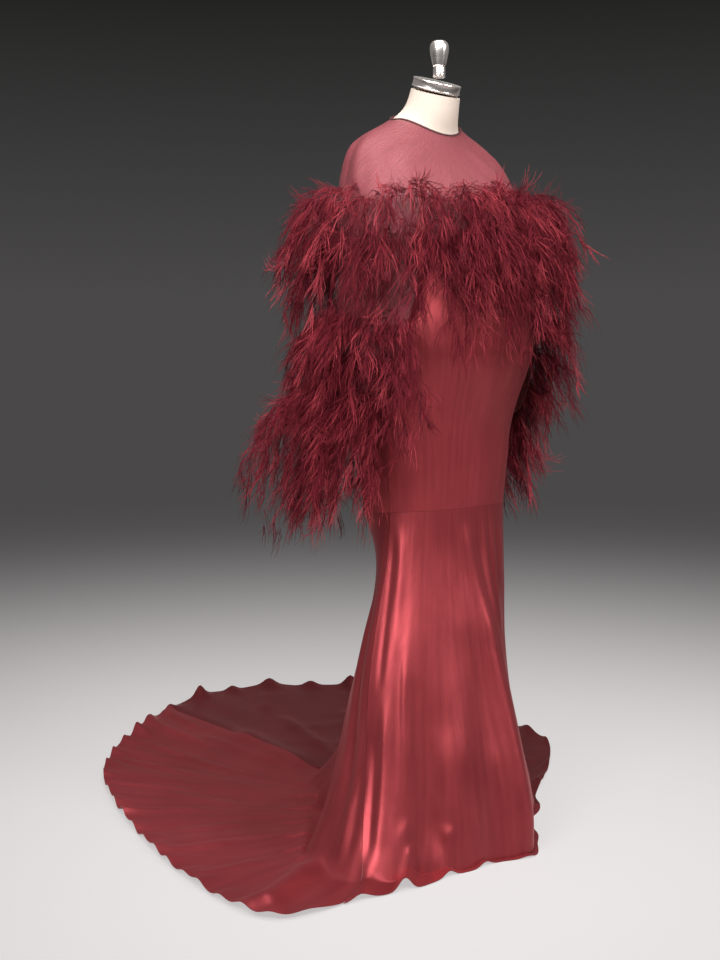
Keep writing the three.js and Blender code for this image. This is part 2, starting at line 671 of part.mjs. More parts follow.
function addFeatherRow(row, seed) {
  const open = row.on === 'fall';
  const surface = open ? fallPoint : yokePoint;
  const low = row.level + STRIP_HEIGHT / LEVEL_HEIGHT[row.on];
  const edge = open ? fallEdge(row.level) + STRIP_INSET : 0;
  const spans = open ? FALL_COLUMNS : CAPE_COLUMNS;
  const stripDegs = range(edge, 360 - edge, spans);
  const strip = clothWall({
    point: surface,
    degsAt: () => (open ? stripDegs : stripDegs.slice(0, -1)),
    rows: [row.level, low],
    closed: !open,
    wall: STRIP_THICKNESS,
    lift: TULLE + STRIP_CLEAR,
  });
  let solid = manifoldOf(strip);
  const { span } = FRONT_ENDS[row.name] ?? PLAIN_ENDS;
  const middle = (row.level + low) / 2;
  for (let k = 0; k < row.count; k += 1) {
    const share = open ? (k + 0.5) / row.count : k / row.count;
    const fromEdge = Math.min(share, 1 - share) * (360 - 2 * edge);
    const end = open ? 1 - smooth((fromEdge - END_LOCK) / span) : 0;
    const deg = edge + (360 - 2 * edge) * share;
    const along = surface(deg + 0.5, middle).sub(surface(deg - 0.5, middle)).normalize();
    const outward = along.clone().cross(new THREE.Vector3(0, 0, -1)).normalize();
    if (outward.dot(polar(1, deg, 0)) < 0) outward.negate();
    const towardsFront = share < 0.5 ? -1 : 1;
    const root = surface(deg, middle).addScaledVector(outward, TULLE + STRIP_CLEAR + STRIP_THICKNESS);
    solid = solid.add(manifoldOf(lockGeometry(root, outward, along, row, k, seed, end, towardsFront)));
  }
  add(row.name, geometryFrom(solid), feather());
}

// ---------------------------------------------------------------- dress form and stand

function addForm() {
  const positions = [];
  for (const ring of FORM_RINGS) {
    for (let k = 0; k < FORM_SIDES; k += 1) {
      const deg = (360 * k) / FORM_SIDES;
      const y = ring.centre - ring.depth * Math.cos(rad(deg));
      const z = ring.z + (y - ring.centre) * Math.tan(rad(ring.tilt));
      positions.push(-ring.half * Math.sin(rad(deg)), y, z);
    }
  }
  const index = ringFaces(FORM_RINGS.length, FORM_SIDES);
  const top = (FORM_RINGS.length - 1) * FORM_SIDES;
  for (let k = 1; k < FORM_SIDES - 1; k += 1) {
    index.push(0, k + 1, k, top, top + k, top + k + 1);
  }
  add('form_torso', facingOut(geometryOf(positions, index)), canvas());
}

function addArmplates() {
  for (const [name, side] of [['form_armplate_right', -1], ['form_armplate_left', 1]]) {
    const outline = new THREE.Shape();
    outline.absellipse(0, 0, ARMPLATE.half, ARMPLATE.height, 0, 2 * Math.PI, false);
    const plate = new THREE.ExtrudeGeometry(outline, {
      depth: ARMPLATE.thickness, bevelEnabled: false, curveSegments: 12,
    });
    plate.rotateX(Math.PI / 2);
    plate.rotateZ(Math.PI / 2);
    const mesh = add(name, plate, canvas());
    mesh.position.set(side * ARMPLATE.x + (side < 0 ? -ARMPLATE.thickness : 0), ARMPLATE.y, ARMPLATE.z);
  }
}

function addNeckCap() {
  const cap = new THREE.CylinderGeometry(1, 1, NECK_CAP.height, 32);
  cap.rotateX(Math.PI / 2);
  cap.scale(NECK_CAP.half, NECK_CAP.depth, 1);
  const mesh = add('form_neck_cap', cap, chrome());
  mesh.rotation.x = rad(NECK_CAP.tilt);
  mesh.position.set(0, NECK_CAP.y, NECK_CAP.z);
}

// A turned body: an outline from bottom to top, closed on its own axis at both ends.
function turned(profile, sides) {
  const foot = new THREE.Vector2(0, profile[0].z);
  const head = new THREE.Vector2(0, profile[profile.length - 1].z);
  const outline = profile.filter(({ radius }) => radius > 0);
  const points = outline.map(({ radius, z }) => new THREE.Vector2(radius, z));
  const body = new THREE.LatheGeometry([foot, ...points, head], sides);
  body.rotateX(Math.PI / 2);
  return body;
}

function addFinial() {
  add('form_finial', turned(FINIAL_PROFILE, 14), chrome()).position.set(0, FINIAL_Y, 0);
}

function addStand() {
  add('stand_base', turned(BASE_PROFILE, 28), paint());
  const from = BASE_PROFILE[BASE_PROFILE.length - 1].z + SEAM_GAP;
  const to = FORM_RINGS[0].z - SEAM_GAP;
  const pole = new THREE.CylinderGeometry(POLE_RADIUS, POLE_RADIUS, to - from, 24);
  pole.rotateX(Math.PI / 2);
  add('stand_pole', pole, paint()).position.set(0, 0, (from + to) / 2);
}

addStand();
addForm();
addArmplates();
addNeckCap();
addFinial();
addBodice();
addSkirt();
addYoke();
addFall();
FEATHER_ROWS.forEach((row, k) => addFeatherRow(row, k + 1));

export default object;
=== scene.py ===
import math

import bmesh
import bpy
import numpy as np
from mathutils import Matrix, Vector
from mathutils.bvhtree import BVHTree


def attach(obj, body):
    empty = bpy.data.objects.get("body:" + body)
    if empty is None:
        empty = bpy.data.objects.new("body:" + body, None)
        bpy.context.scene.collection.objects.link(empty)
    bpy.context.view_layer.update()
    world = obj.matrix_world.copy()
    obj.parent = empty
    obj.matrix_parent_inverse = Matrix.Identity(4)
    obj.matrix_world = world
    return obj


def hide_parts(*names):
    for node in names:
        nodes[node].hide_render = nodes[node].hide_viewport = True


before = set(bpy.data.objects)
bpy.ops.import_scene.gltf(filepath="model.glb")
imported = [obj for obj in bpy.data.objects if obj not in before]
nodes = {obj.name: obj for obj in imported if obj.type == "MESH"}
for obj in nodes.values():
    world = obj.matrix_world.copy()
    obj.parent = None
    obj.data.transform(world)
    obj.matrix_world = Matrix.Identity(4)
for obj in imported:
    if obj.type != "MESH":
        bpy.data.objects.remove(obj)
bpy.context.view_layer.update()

# ------------------------------------------------------------------ stand
# The stand is a steel pole on a round flat base, hidden by the skirt. Both are turned from plain steel
# and sprayed with satin black paint, which dries with a very fine orange peel.
PAINT_BLACK = (0.030, 0.030, 0.032, 1)
PAINT_DUST = (0.052, 0.050, 0.048, 1)
PEEL_FINENESS = 900.0
CLOUD_SCALE = 9.0
MIX_SHARE, MIX_FIRST, MIX_SECOND, MIX_RESULT = 0, 6, 7, 2    # a Mix node's sockets for colours


def add_node(tree, kind, inputs=None, **settings):
    """A new shader node with its settings, and its inputs set to values or joined to other sockets."""
    node = tree.nodes.new(kind)
    for name, value in settings.items():
        setattr(node, name, value)
    for name, value in (inputs or {}).items():
        if isinstance(value, bpy.types.NodeSocket):
            tree.links.new(value, node.inputs[name])
        else:
            node.inputs[name].default_value = value
    return node


def new_finish(name):
    """A material with its tree and its Principled shader."""
    material = bpy.data.materials.new(name)
    material.use_nodes = True
    tree = material.node_tree
    return material, tree, tree.nodes["Principled BSDF"]


def new_effect(name, inputs, outputs):
    """A shader node group: its tree, the sockets it reads and the sockets it gives."""
    group = bpy.data.node_groups.new(name, "ShaderNodeTree")
    for socket, kind in outputs:
        group.interface.new_socket(socket, in_out="OUTPUT", socket_type=kind)
    for socket, kind, value in inputs:
        made = group.interface.new_socket(socket, in_out="INPUT", socket_type=kind)
        if value is not None:
            made.default_value = value
    return group, group.nodes.new("NodeGroupInput").outputs, group.nodes.new("NodeGroupOutput").inputs


def blend_colours(tree, share, first, second):
    """The colour between two colours, by a share from 0 to 1."""
    mix = add_node(tree, "ShaderNodeMix", data_type="RGBA")
    for socket, value in ((MIX_SHARE, share), (MIX_FIRST, first), (MIX_SECOND, second)):
        if isinstance(value, bpy.types.NodeSocket):
            tree.links.new(value, mix.inputs[socket])
        else:
            mix.inputs[socket].default_value = value
    return mix.outputs[MIX_RESULT]


def noise(tree, where, scale, detail):
    """Soft noise over a surface, from 0 to 1."""
    made = add_node(tree, "ShaderNodeTexNoise", {"Vector": where, "Scale": scale, "Detail": detail})
    return made.outputs[0]


def set_bump(tree, shader, height, strength, distance):
    """Raises the shader's surface by a height map."""
    bump = add_node(tree, "ShaderNodeBump", {"Height": height, "Strength": strength, "Distance": distance})
    tree.links.new(bump.outputs["Normal"], shader.inputs["Normal"])


def grain_effect():
    """Fine grain with a slow cloud under it, for paint and metal."""
    group, given, out = new_effect(
        "surface grain",
        [("Vector", "NodeSocketVector", None), ("Fineness", "NodeSocketFloat", 400.0)],
        [("Grain", "NodeSocketFloat"), ("Cloud", "NodeSocketFloat")],
    )
    group.links.new(noise(group, given["Vector"], given["Fineness"], detail=3.0), out["Grain"])
    group.links.new(noise(group, given["Vector"], CLOUD_SCALE, detail=4.0), out["Cloud"])
    return group


GRAIN = grain_effect()


def add_grain(tree, fineness=400.0):
    """The surface grain in a material, on the object's own coordinates."""
    place = add_node(tree, "ShaderNodeTexCoord").outputs["Object"]
    return add_node(tree, "ShaderNodeGroup", {"Vector": place, "Fineness": fineness}, node_tree=GRAIN)


def stand_paint():
    material, tree, shader = new_finish("satin black paint")
    grain = add_grain(tree, PEEL_FINENESS)
    colour = blend_colours(tree, grain.outputs["Cloud"], PAINT_BLACK, PAINT_DUST)
    tree.links.new(colour, shader.inputs["Base Color"])
    shader.inputs["Roughness"].default_value = 0.42
    set_bump(tree, shader, grain.outputs["Grain"], strength=0.12, distance=0.0004)
    return material


def finish_node(name, material):
    """Gives a carried-over node its material."""
    mesh = nodes[name].data
    mesh.materials.clear()
    mesh.materials.append(material)


paint = stand_paint()
for name in ("stand_pole", "stand_base"):
    finish_node(name, paint)


# ------------------------------------------------------------------ dress form
# The body is padded and covered in cream cotton canvas, sewn in panels with seams down the front, sides
# and back. The armplates are canvas-covered discs. The neck cap and the knob are chromed metal.
CANVAS = (0.500, 0.425, 0.360, 1)
CANVAS_SHADE = (0.465, 0.385, 0.320, 1)
CANVAS_THREADS = 1100.0           # threads in a metre
SLUB_SCALE = 120.0
FORM_REACH = 0.14                 # how far the padding stands from the form's middle, for its map
FORM_CORNER = 50                  # the least turn, in degrees, that stays a crisp corner on the form


def reckon(tree, operation, *values):
    """What a Math node makes of its values."""
    return add_node(tree, "ShaderNodeMath", dict(enumerate(values)), operation=operation).outputs[0]


def thread_effect():
    """Crossed threads on a cloth's own map: sine ridges along both ways, uneven as spun yarn is."""
    group, given, out = new_effect(
        "crossed threads",
        [("Vector", "NodeSocketVector", None), ("Threads", "NodeSocketFloat", 900.0)],
        [("Height", "NodeSocketFloat"), ("Slub", "NodeSocketFloat")],
    )
    sized = add_node(group, "ShaderNodeVectorMath", {0: given["Vector"]}, operation="SCALE")
    group.links.new(given["Threads"], sized.inputs["Scale"])
    axes = add_node(group, "ShaderNodeSeparateXYZ", {"Vector": sized.outputs[0]})
    ways = [reckon(group, "MULTIPLY", axes.outputs[axis], math.tau) for axis in ("X", "Y")]
    ridges = [reckon(group, "SINE", way) for way in ways]
    group.links.new(reckon(group, "MULTIPLY", *ridges), out["Height"])
    group.links.new(noise(group, given["Vector"], SLUB_SCALE, detail=2.0), out["Slub"])
    return group


THREADS = thread_effect()


def cloth_map(tree):
    """The cloth's own map in a material, in metres."""
    return add_node(tree, "ShaderNodeUVMap", uv_map="cloth").outputs["UV"]


def add_threads(tree, threads):
    """The crossed threads in a material, so many to the metre."""
    given = {"Vector": cloth_map(tree), "Threads": threads}
    return add_node(tree, "ShaderNodeGroup", given, node_tree=THREADS)


def canvas_finish():
    material, tree, shader = new_finish("cream canvas")
    threads = add_threads(tree, CANVAS_THREADS)
    colour = blend_colours(tree, threads.outputs["Slub"], CANVAS, CANVAS_SHADE)
    tree.links.new(colour, shader.inputs["Base Color"])
    shader.inputs["Roughness"].default_value = 0.85
    set_bump(tree, shader, threads.outputs["Height"], strength=0.25, distance=0.0003)
    return material


def degrees_round(points):
    """Direction round the body in degrees: 0 in front, 90 at the wearer's right, 180 behind."""
    return np.degrees(np.arctan2(-points[:, 0], -points[:, 1])) % 360


def mesh_points(mesh):
    points = np.empty(len(mesh.vertices) * 3)
    mesh.vertices.foreach_get("co", points)
    return points.reshape(-1, 3)


def set_points(mesh, points):
    mesh.vertices.foreach_set("co", points.ravel())
    mesh.update()


def lay_map(mesh, middle, reach):
    """A cloth map in metres: across by the direction round the body, along by the way down the cloth.
    Where the directions pass from 360 to 0, a face's corners are kept on one side."""
    points = mesh_points(mesh)
    across = (degrees_round(points) - middle + 180) % 360 - 180
    corners = np.empty(len(mesh.loops), dtype=np.int64)
    mesh.loops.foreach_get("vertex_index", corners)
    u = np.radians(across[corners])
    starts = np.empty(len(mesh.polygons), dtype=np.int64)
    counts = np.empty(len(mesh.polygons), dtype=np.int64)
    mesh.polygons.foreach_get("loop_start", starts)
    mesh.polygons.foreach_get("loop_total", counts)
    face_of = np.repeat(np.arange(len(starts)), counts)
    highest = np.full(len(starts), -math.inf)
    np.maximum.at(highest, face_of, u)
    u = np.where(highest[face_of] - u > math.pi, u + math.tau, u)
    along = run_down(points)[corners]
    layer = mesh.uv_layers.new(name="cloth")
    layer.data.foreach_set("uv", np.stack([u * reach, along], 1).ravel())


FLARE_SEAM = 0.722                # height of the seam between the upper panels and the skirt
BEND_RADIUS = 0.30                # where the skirt turns out along the floor
WALL_EDGE = 65                    # a turn, in degrees, that only the edge of a wall has
WELD = 0.00002                    # points closer than this become one
QUAD_FLATNESS = 50                # triangles pair into a quad up to this turn between them,
QUAD_SKEW = 75                    # and up to this difference between its corners


def run_down(points):
    """How far down the cloth a point lies from the flare seam: down the skirt, then out along the train."""
    out = np.hypot(points[:, 0], points[:, 1])
    return (FLARE_SEAM - points[:, 2]) + np.maximum(0, out - BEND_RADIUS)


def new_object(name, data):
    """A new object in the scene."""
    made = bpy.data.objects.new(name, data)
    bpy.context.scene.collection.objects.link(made)
    return made


def finer_copy(node, name, levels, corner=WALL_EDGE, firmness=1.0, sides=(0, 360)):
    """A finer copy of a solid: its triangles paired into quads, its corners kept crisp, then subdivided.
    A corner is an edge that turns by more than an angle, between two directions round the body. The edges
    of a wall always are corners."""
    bm = bmesh.new()
    bm.from_mesh(nodes[node].data)
    bmesh.ops.remove_doubles(bm, verts=bm.verts, dist=WELD)
    flatness, skew = math.radians(QUAD_FLATNESS), math.radians(QUAD_SKEW)
    bmesh.ops.join_triangles(bm, faces=bm.faces, angle_face_threshold=flatness, angle_shape_threshold=skew)
    crisp = bm.edges.layers.float.new("crease_edge")
    for edge in bm.edges:
        turn = math.degrees(edge.calc_face_angle(0))
        if turn > WALL_EDGE:
            edge[crisp] = 1.0
        elif turn > corner:
            middle = (edge.verts[0].co + edge.verts[1].co) / 2
            direction = math.degrees(math.atan2(-middle.x, -middle.y)) % 360
            edge[crisp] = firmness if sides[0] <= direction <= sides[1] else 0.0
    mesh = bpy.data.meshes.new(name)
    bm.to_mesh(mesh)
    bm.free()
    rough = new_object(name + "_rough", mesh)
    smooth = rough.modifiers.new("smooth", "SUBSURF")
    smooth.levels = smooth.render_levels = levels
    made = bpy.data.meshes.new_from_object(rough.evaluated_get(bpy.context.evaluated_depsgraph_get()))
    bpy.data.objects.remove(rough)
    made.name = name
    # the solid's own normals don't fit the finer mesh
    if made.has_custom_normals:
        made.attributes.remove(made.attributes["custom_normal"])
    made.shade_smooth()
    made.set_sharp_from_angle(angle=math.radians(WALL_EDGE))
    return new_object(name, made)


def settle(piece, material, node):
    """Gives a piece its material and its body, and hides the node that it stands for."""
    piece.data.materials.clear()
    piece.data.materials.append(material)
    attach(piece, "root")
    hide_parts(node)


canvas = canvas_finish()
FORM_PARTS = (  # node, piece, middle direction
    ("form_torso", "form_body", 0), ("form_armplate_right", "armplate_right", 90),
    ("form_armplate_left", "armplate_left", 270),
)
for node, name, middle in FORM_PARTS:
    part = finer_copy(node, name, 2, FORM_CORNER)
    lay_map(part.data, middle, FORM_REACH)
    settle(part, canvas, node)


def chrome_finish():
    material, tree, shader = new_finish("polished chrome")
    cloud = add_grain(tree).outputs["Cloud"]
    rough = add_node(tree, "ShaderNodeMapRange", {"Value": cloud, "To Min": 0.20, "To Max": 0.30})
    tree.links.new(rough.outputs[0], shader.inputs["Roughness"])
    shader.inputs["Base Color"].default_value = (0.96, 0.89, 0.84, 1)
    shader.inputs["Metallic"].default_value = 1.0
    return material


# Outlines: radius and height in millimetres, from the middle of the underside to the middle of the top. The
# cap's heights count from its own middle, the knob's from the floor.
CAP_OUTLINE = (
    (0, -10), (52.6, -10), (54.2, -9.6), (55, -8.6), (55, -7.2), (54.2, -6.6), (54, -6), (54, 6), (54.2, 6.6),
    (55, 7.2), (55, 8.6), (54.4, 9.6), (53, 10), (50.5, 9.8), (49.4, 9.1), (48, 8.9), (0, 8.9),
)
CAP_PLACE = Matrix.Translation((0, -0.008, 1.6475)) @ Matrix.Rotation(math.radians(19), 4, "X")
CAP_OVAL = Matrix.Diagonal((1, 52 / 55, 1, 1))
KNOB_OUTLINE = (
    (0, 1664), (12.4, 1664), (13.0, 1664.4), (13.2, 1665.2), (13.2, 1684.2), (13.0, 1685.2), (12.2, 1685.8),
    (12.0, 1686.6), (12.2, 1687.4), (13.4, 1688), (14.2, 1689.6), (15.1, 1693), (16.2, 1698), (17.4, 1704),
    (18.6, 1710), (19.7, 1716), (20.4, 1721), (20.7, 1726), (20.5, 1730), (19.6, 1734), (17.8, 1737.4),
    (15.0, 1740.2), (11.2, 1742.2), (6.4, 1743.3), (0, 1743.5),
)
KNOB_PLACE = Matrix.Translation((0, -0.016, 0))
TURNED_EDGE = 40                  # a turn, in degrees, that stays sharp on a turned piece


def turned(name, outline, segments, place):
    """A closed piece turned from an outline that starts and ends on the upright axis."""
    bm = bmesh.new()
    points = [bm.verts.new((radius / 1000, 0, height / 1000)) for radius, height in outline]
    lines = [bm.edges.new(pair) for pair in zip(points, points[1:])]
    bmesh.ops.spin(
        bm, geom=points + lines, cent=(0, 0, 0), axis=(0, 0, 1), angle=math.tau, steps=segments,
        use_merge=True,
    )
    bmesh.ops.remove_doubles(bm, verts=bm.verts, dist=WELD)
    bmesh.ops.recalc_face_normals(bm, faces=bm.faces)
    bmesh.ops.transform(bm, matrix=place, verts=bm.verts)
    mesh = bpy.data.meshes.new(name)
    bm.to_mesh(mesh)
    bm.free()
    mesh.shade_smooth()
    mesh.set_sharp_from_angle(angle=math.radians(TURNED_EDGE))
    return new_object(name, mesh)


chrome = chrome_finish()
cap = turned("neck_cap", CAP_OUTLINE, segments=96, place=CAP_PLACE @ CAP_OVAL)
settle(cap, chrome, "form_neck_cap")
knob = turned("neck_knob", KNOB_OUTLINE, segments=64, place=KNOB_PLACE)
settle(knob, chrome, "form_finial")


# ------------------------------------------------------------------ gown
# The gown is cut from heavy duchess satin: a front and a back panel down to the flare seam, then a front
# and two back skirt panels. The back ones run out into the train, and the hem is a narrow rolled one.
SATIN_DEEP = (0.145, 0.018, 0.022, 1)
SATIN_FACE = (0.225, 0.031, 0.036, 1)
SATIN_THREADS = 1500.0            # threads in a metre
SATIN_STREAKS = (90.0, 5.0, 1.0)  # how fine the drawn streaks are across the cloth and down it
SATIN_CRUSH = (26.0, 9.0, 1.0)    # the same for the soft crushing
SATIN_CLOUDS = 7.0
WEAVE_SHARE = 0.012               # how deep the weave is, next to the crushing
BEND_TURN = 34                    # the least turn, in degrees, that counts as the bend at the floor
BEND_FIRMNESS = 0.7
BEND_SIDES = (96, 262)            # directions between which the skirt meets the floor in a bend
GOWN_REACH = 0.25                 # how far the cloth stands from the form's middle, for its map


def drawn_noise(tree, where, size, detail, turn=0.0):
    """Noise drawn out along one way of the cloth."""
    drawn = add_node(tree, "ShaderNodeMapping", {"Vector": where, "Rotation": (0, 0, turn)})
    sized = add_node(tree, "ShaderNodeMapping", {"Vector": drawn.outputs[0], "Scale": size})
    return noise(tree, sized.outputs[0], 1.0, detail=detail)


def satin_finish(name, painted_brightness):
    """Satin whose colours are painted paler or darker by a factor: painted light on one panel, painted shade
    on another.
    """
    material, tree, shader = new_finish(name)
    threads = add_threads(tree, SATIN_THREADS)
    place = cloth_map(tree)
    streak = drawn_noise(tree, place, SATIN_STREAKS, detail=5.0)
    both = reckon(tree, "ADD", streak, noise(tree, place, SATIN_CLOUDS, detail=3.0))
    share = add_node(tree, "ShaderNodeMapRange", {"Value": both, "From Min": 0.55, "From Max": 1.45})
    deep = tuple(painted_brightness * tone for tone in SATIN_DEEP[:3]) + (1,)
    face = tuple(painted_brightness * tone for tone in SATIN_FACE[:3]) + (1,)
    tree.links.new(blend_colours(tree, share.outputs[0], deep, face), shader.inputs["Base Color"])
    rough = add_node(tree, "ShaderNodeMapRange", {"Value": streak, "To Min": 0.31, "To Max": 0.42})
    tree.links.new(rough.outputs[0], shader.inputs["Roughness"])
    shader.inputs["Metallic"].default_value = 0.56
    shader.inputs["Specular Tint"].default_value = (1.0, 0.36, 0.36, 1)
    shader.inputs["Anisotropic"].default_value = 0.30
    shader.inputs["Sheen Weight"].default_value = 0.05
    shader.inputs["Sheen Tint"].default_value = (0.9, 0.4, 0.42, 1)
    tangent = add_node(tree, "ShaderNodeTangent", direction_type="UV_MAP", uv_map="cloth")
    tree.links.new(tangent.outputs[0], shader.inputs["Tangent"])
    weave = reckon(tree, "MULTIPLY", threads.outputs["Height"], WEAVE_SHARE)
    height = reckon(tree, "ADD", drawn_noise(tree, place, SATIN_CRUSH, detail=3.0), weave)
    set_bump(tree, shader, height, strength=0.36, distance=0.004)
    return material


# Folds and drag lines in the upright cloth: direction and height at both ends in degrees and metres, how far
# they stand out in millimetres, half width in metres.
WALL_FOLDS = (
    # the front ridge and the drawn folds beside it, on the wearer's left of centre
    (14, 0.712, 2, 0.42, 5.0, 0.016), (6, 0.55, 2, 0.02, 7.0, 0.020), (350, 0.712, 352, 0.46, 3.0, 0.011),
    (338, 0.712, 340, 0.50, 2.6, 0.011), (344, 0.710, 346, 0.44, -2.8, 0.011),
    (357, 0.70, 358, 0.36, -2.4, 0.012), (330, 0.71, 334, 0.52, -2.6, 0.012),
    (322, 0.71, 326, 0.30, 3.2, 0.015),
    # soft broad waves over the front
    (38, 0.66, 40, 0.28, 2.0, 0.030), (24, 0.50, 28, 0.10, -2.5, 0.034), (33, 0.30, 34, 0.02, 2.4, 0.034),
    (12, 0.26, 9, 0.03, 2.6, 0.036), (17, 0.16, 20, 0.01, -3.0, 0.024), (25, 0.13, 24, 0.01, 3.6, 0.020),
    (45, 0.14, 42, 0.01, -5.0, 0.020), (37, 0.10, 37, 0.0, 5.0, 0.016),
    # the narrow upright folds before the right side seam
    (66, 0.70, 58, 0.40, 3.5, 0.012), (61, 0.62, 55, 0.10, -4.0, 0.012), (57, 0.48, 50, 0.05, 4.5, 0.013),
    (52, 0.40, 47, 0.16, -3.0, 0.013), (71, 0.70, 66, 0.34, -3.0, 0.008), (63, 0.36, 59, 0.03, 4.5, 0.011),
    (66.5, 0.30, 62, 0.03, -4.0, 0.009), (53, 0.12, 52, 0.0, 7.0, 0.012),
    # behind the right side seam
    (78, 0.64, 72, 0.06, 4.5, 0.012), (83, 0.60, 77, 0.08, -4.5, 0.012), (88, 0.56, 81, 0.05, 4.5, 0.014),
    (94, 0.50, 88, 0.12, -4.0, 0.014), (70, 0.22, 68, 0.02, -4.0, 0.010), (74, 0.16, 71, 0.01, 5.0, 0.010),
    # the back and the left side
    (104, 0.66, 108, 0.10, 4.0, 0.018), (124, 0.62, 121, 0.14, -4.0, 0.020),
    (133, 0.68, 141, 0.08, 4.5, 0.018), (150, 0.60, 147, 0.10, -4.0, 0.020),
    (166, 0.68, 170, 0.06, 5.0, 0.018), (176, 0.56, 178, 0.10, -3.0, 0.014),
    (186, 0.66, 190, 0.08, 4.0, 0.018), (196, 0.58, 193, 0.12, -4.0, 0.018),
    (212, 0.66, 208, 0.06, 4.5, 0.020), (230, 0.62, 234, 0.12, -4.0, 0.018),
    (238, 0.66, 243, 0.08, 4.0, 0.018), (256, 0.60, 258, 0.06, -4.5, 0.016),
    (272, 0.64, 276, 0.04, 4.5, 0.014), (280, 0.56, 283, 0.08, -4.0, 0.014),
    (290, 0.62, 297, 0.03, 4.5, 0.014), (302, 0.56, 303, 0.06, -4.0, 0.014),
    (314, 0.66, 316, 0.04, 3.5, 0.014),
    # the cloth stands out along the bust line and falls in below it
    (58, 1.066, 0, 1.047, 3.4, 0.034), (0, 1.047, 302, 1.066, 3.4, 0.034),
    (52, 0.990, 0, 0.970, -2.6, 0.042), (0, 0.970, 308, 0.990, -2.6, 0.042),
    # drag lines over the waist, the hip and under the bust
    (72, 0.86, 40, 0.80, 1.2, 0.014), (300, 0.85, 335, 0.80, 1.2, 0.014), (60, 1.02, 30, 0.99, 1.2, 0.014),
    (300, 1.02, 330, 0.985, 1.3, 0.014), (66, 1.10, 44, 1.04, -1.2, 0.016),
    (294, 1.11, 316, 1.05, -1.2, 0.016), (20, 1.00, 342, 0.985, -1.0, 0.014),
    (120, 0.98, 150, 0.95, 1.4, 0.012), (240, 0.98, 208, 0.95, 1.4, 0.012),
    (112, 0.90, 165, 0.86, -1.4, 0.014), (248, 0.905, 196, 0.865, -1.4, 0.014),
    (130, 0.78, 172, 0.755, 1.4, 0.012), (230, 0.78, 188, 0.758, 1.4, 0.012),
    (135, 1.12, 178, 1.08, 1.3, 0.014), (226, 1.13, 184, 1.09, 1.3, 0.014),
)
# Folds in the train: floor point at both ends in metres, height in millimetres, half width in metres.
TRAIN_FOLDS = (
    # the long ridge down the centre back, and a fainter one beside it
    (-0.01, 0.44, 0.005, 0.72, 20, 0.045), (0.005, 0.68, 0.01, 1.08, 15, 0.050),
    (-0.05, 0.47, -0.075, 0.80, 5, 0.020),
    # the ridge where the upright cloth turns into the near half, with short wrinkles across it
    (0.00, 0.41, -0.20, 0.195, 7, 0.013), (-0.20, 0.195, -0.40, -0.02, 7, 0.013),
    (-0.06, 0.30, -0.11, 0.36, 4, 0.008), (-0.12, 0.235, -0.17, 0.295, 4, 0.007),
    (-0.17, 0.18, -0.23, 0.235, 4, 0.008), (-0.24, 0.115, -0.29, 0.165, 4, 0.007),
    (-0.29, 0.06, -0.35, 0.105, 4, 0.008), (-0.35, 0.0, -0.40, 0.04, 4, 0.007),
    # soft wrinkles in the far half
    (0.10, 0.46, 0.20, 0.80, 9, 0.022), (0.21, 0.42, 0.37, 0.74, 8, 0.020),
    (0.33, 0.34, 0.50, 0.56, 8, 0.022), (0.12, 0.76, 0.32, 0.66, 5, 0.016),
    (0.10, 0.62, 0.25, 0.45, 4, 0.024), (0.44, 0.22, 0.58, 0.31, 8, 0.020),
    (0.20, 0.90, 0.31, 1.04, 10, 0.018), (0.42, 0.74, 0.50, 0.88, 9, 0.018),
    # fine wrinkles in the near half, running in from the far end
    (-0.05, 0.86, -0.03, 1.07, 9, 0.014), (-0.11, 0.74, -0.13, 1.02, 8, 0.014),
    (-0.19, 0.66, -0.24, 0.92, 7, 0.013), (-0.27, 0.58, -0.36, 0.80, 7, 0.013),
    (-0.16, 0.50, -0.22, 0.72, 4, 0.016), (-0.34, 0.48, -0.47, 0.66, 7, 0.013),
    (-0.38, 0.34, -0.55, 0.44, 7, 0.014), (-0.36, 0.22, -0.50, 0.27, 5, 0.018),
    (-0.44, 0.14, -0.60, 0.18, 7, 0.014), (-0.46, 0.02, -0.62, 0.03, 6, 0.015),
    (-0.30, 0.30, -0.42, 0.56, 4, 0.020), (-0.20, 0.36, -0.26, 0.58, 3, 0.024),
    # the fold that turns out of the upright cloth by the side seam, and the arch in the hem before it
    (-0.38, -0.06, -0.60, -0.17, 26, 0.030), (-0.34, -0.19, -0.44, -0.26, 14, 0.022),
    (-0.250, -0.205, -0.360, -0.300, 27, 0.015), (-0.20, -0.25, -0.235, -0.31, 12, 0.016),
    (-0.12, -0.28, -0.14, -0.33, 10, 0.018), (-0.03, -0.28, -0.03, -0.33, 6, 0.020),
    # the wearer's left, where the hem turns forward
    (0.24, -0.06, 0.34, -0.03, 12, 0.018), (0.28, 0.05, 0.44, 0.12, 12, 0.020),
    (0.30, 0.14, 0.50, 0.22, 8, 0.018),
)
# Peaks of the hem round the train: direction, height in millimetres, half width in metres.
HEM_PEAKS = (
    (66, 6, 0.021), (71, 11, 0.023), (77, 8, 0.021), (83, 10, 0.023), (90, 7, 0.021), (96, 10, 0.023),
    (103, 10, 0.021), (109, 12, 0.023), (116, 9, 0.021), (122, 13, 0.023), (129, 11, 0.021),
    (135, 14, 0.023), (141, 12, 0.021), (147, 18, 0.023), (153, 13, 0.021), (158, 19, 0.023),
    (164, 16, 0.021), (169, 24, 0.023), (174, 16, 0.021), (180, 21, 0.021), (187, 36, 0.022),
    (193, 14, 0.021), (199, 19, 0.023), (205, 16, 0.021), (211, 39, 0.022), (217, 14, 0.021),
    (222, 21, 0.025), (228, 16, 0.021), (234, 19, 0.023), (240, 14, 0.021), (247, 18, 0.023),
    (254, 14, 0.021), (262, 11, 0.021), (272, 10, 0.021),
)
HEM_REACH = 0.085                 # how far in from the hem a peak begins to rise
HEM_BAND = 0.06                   # below this height the skirt's cloth is looked at for the hem's outline
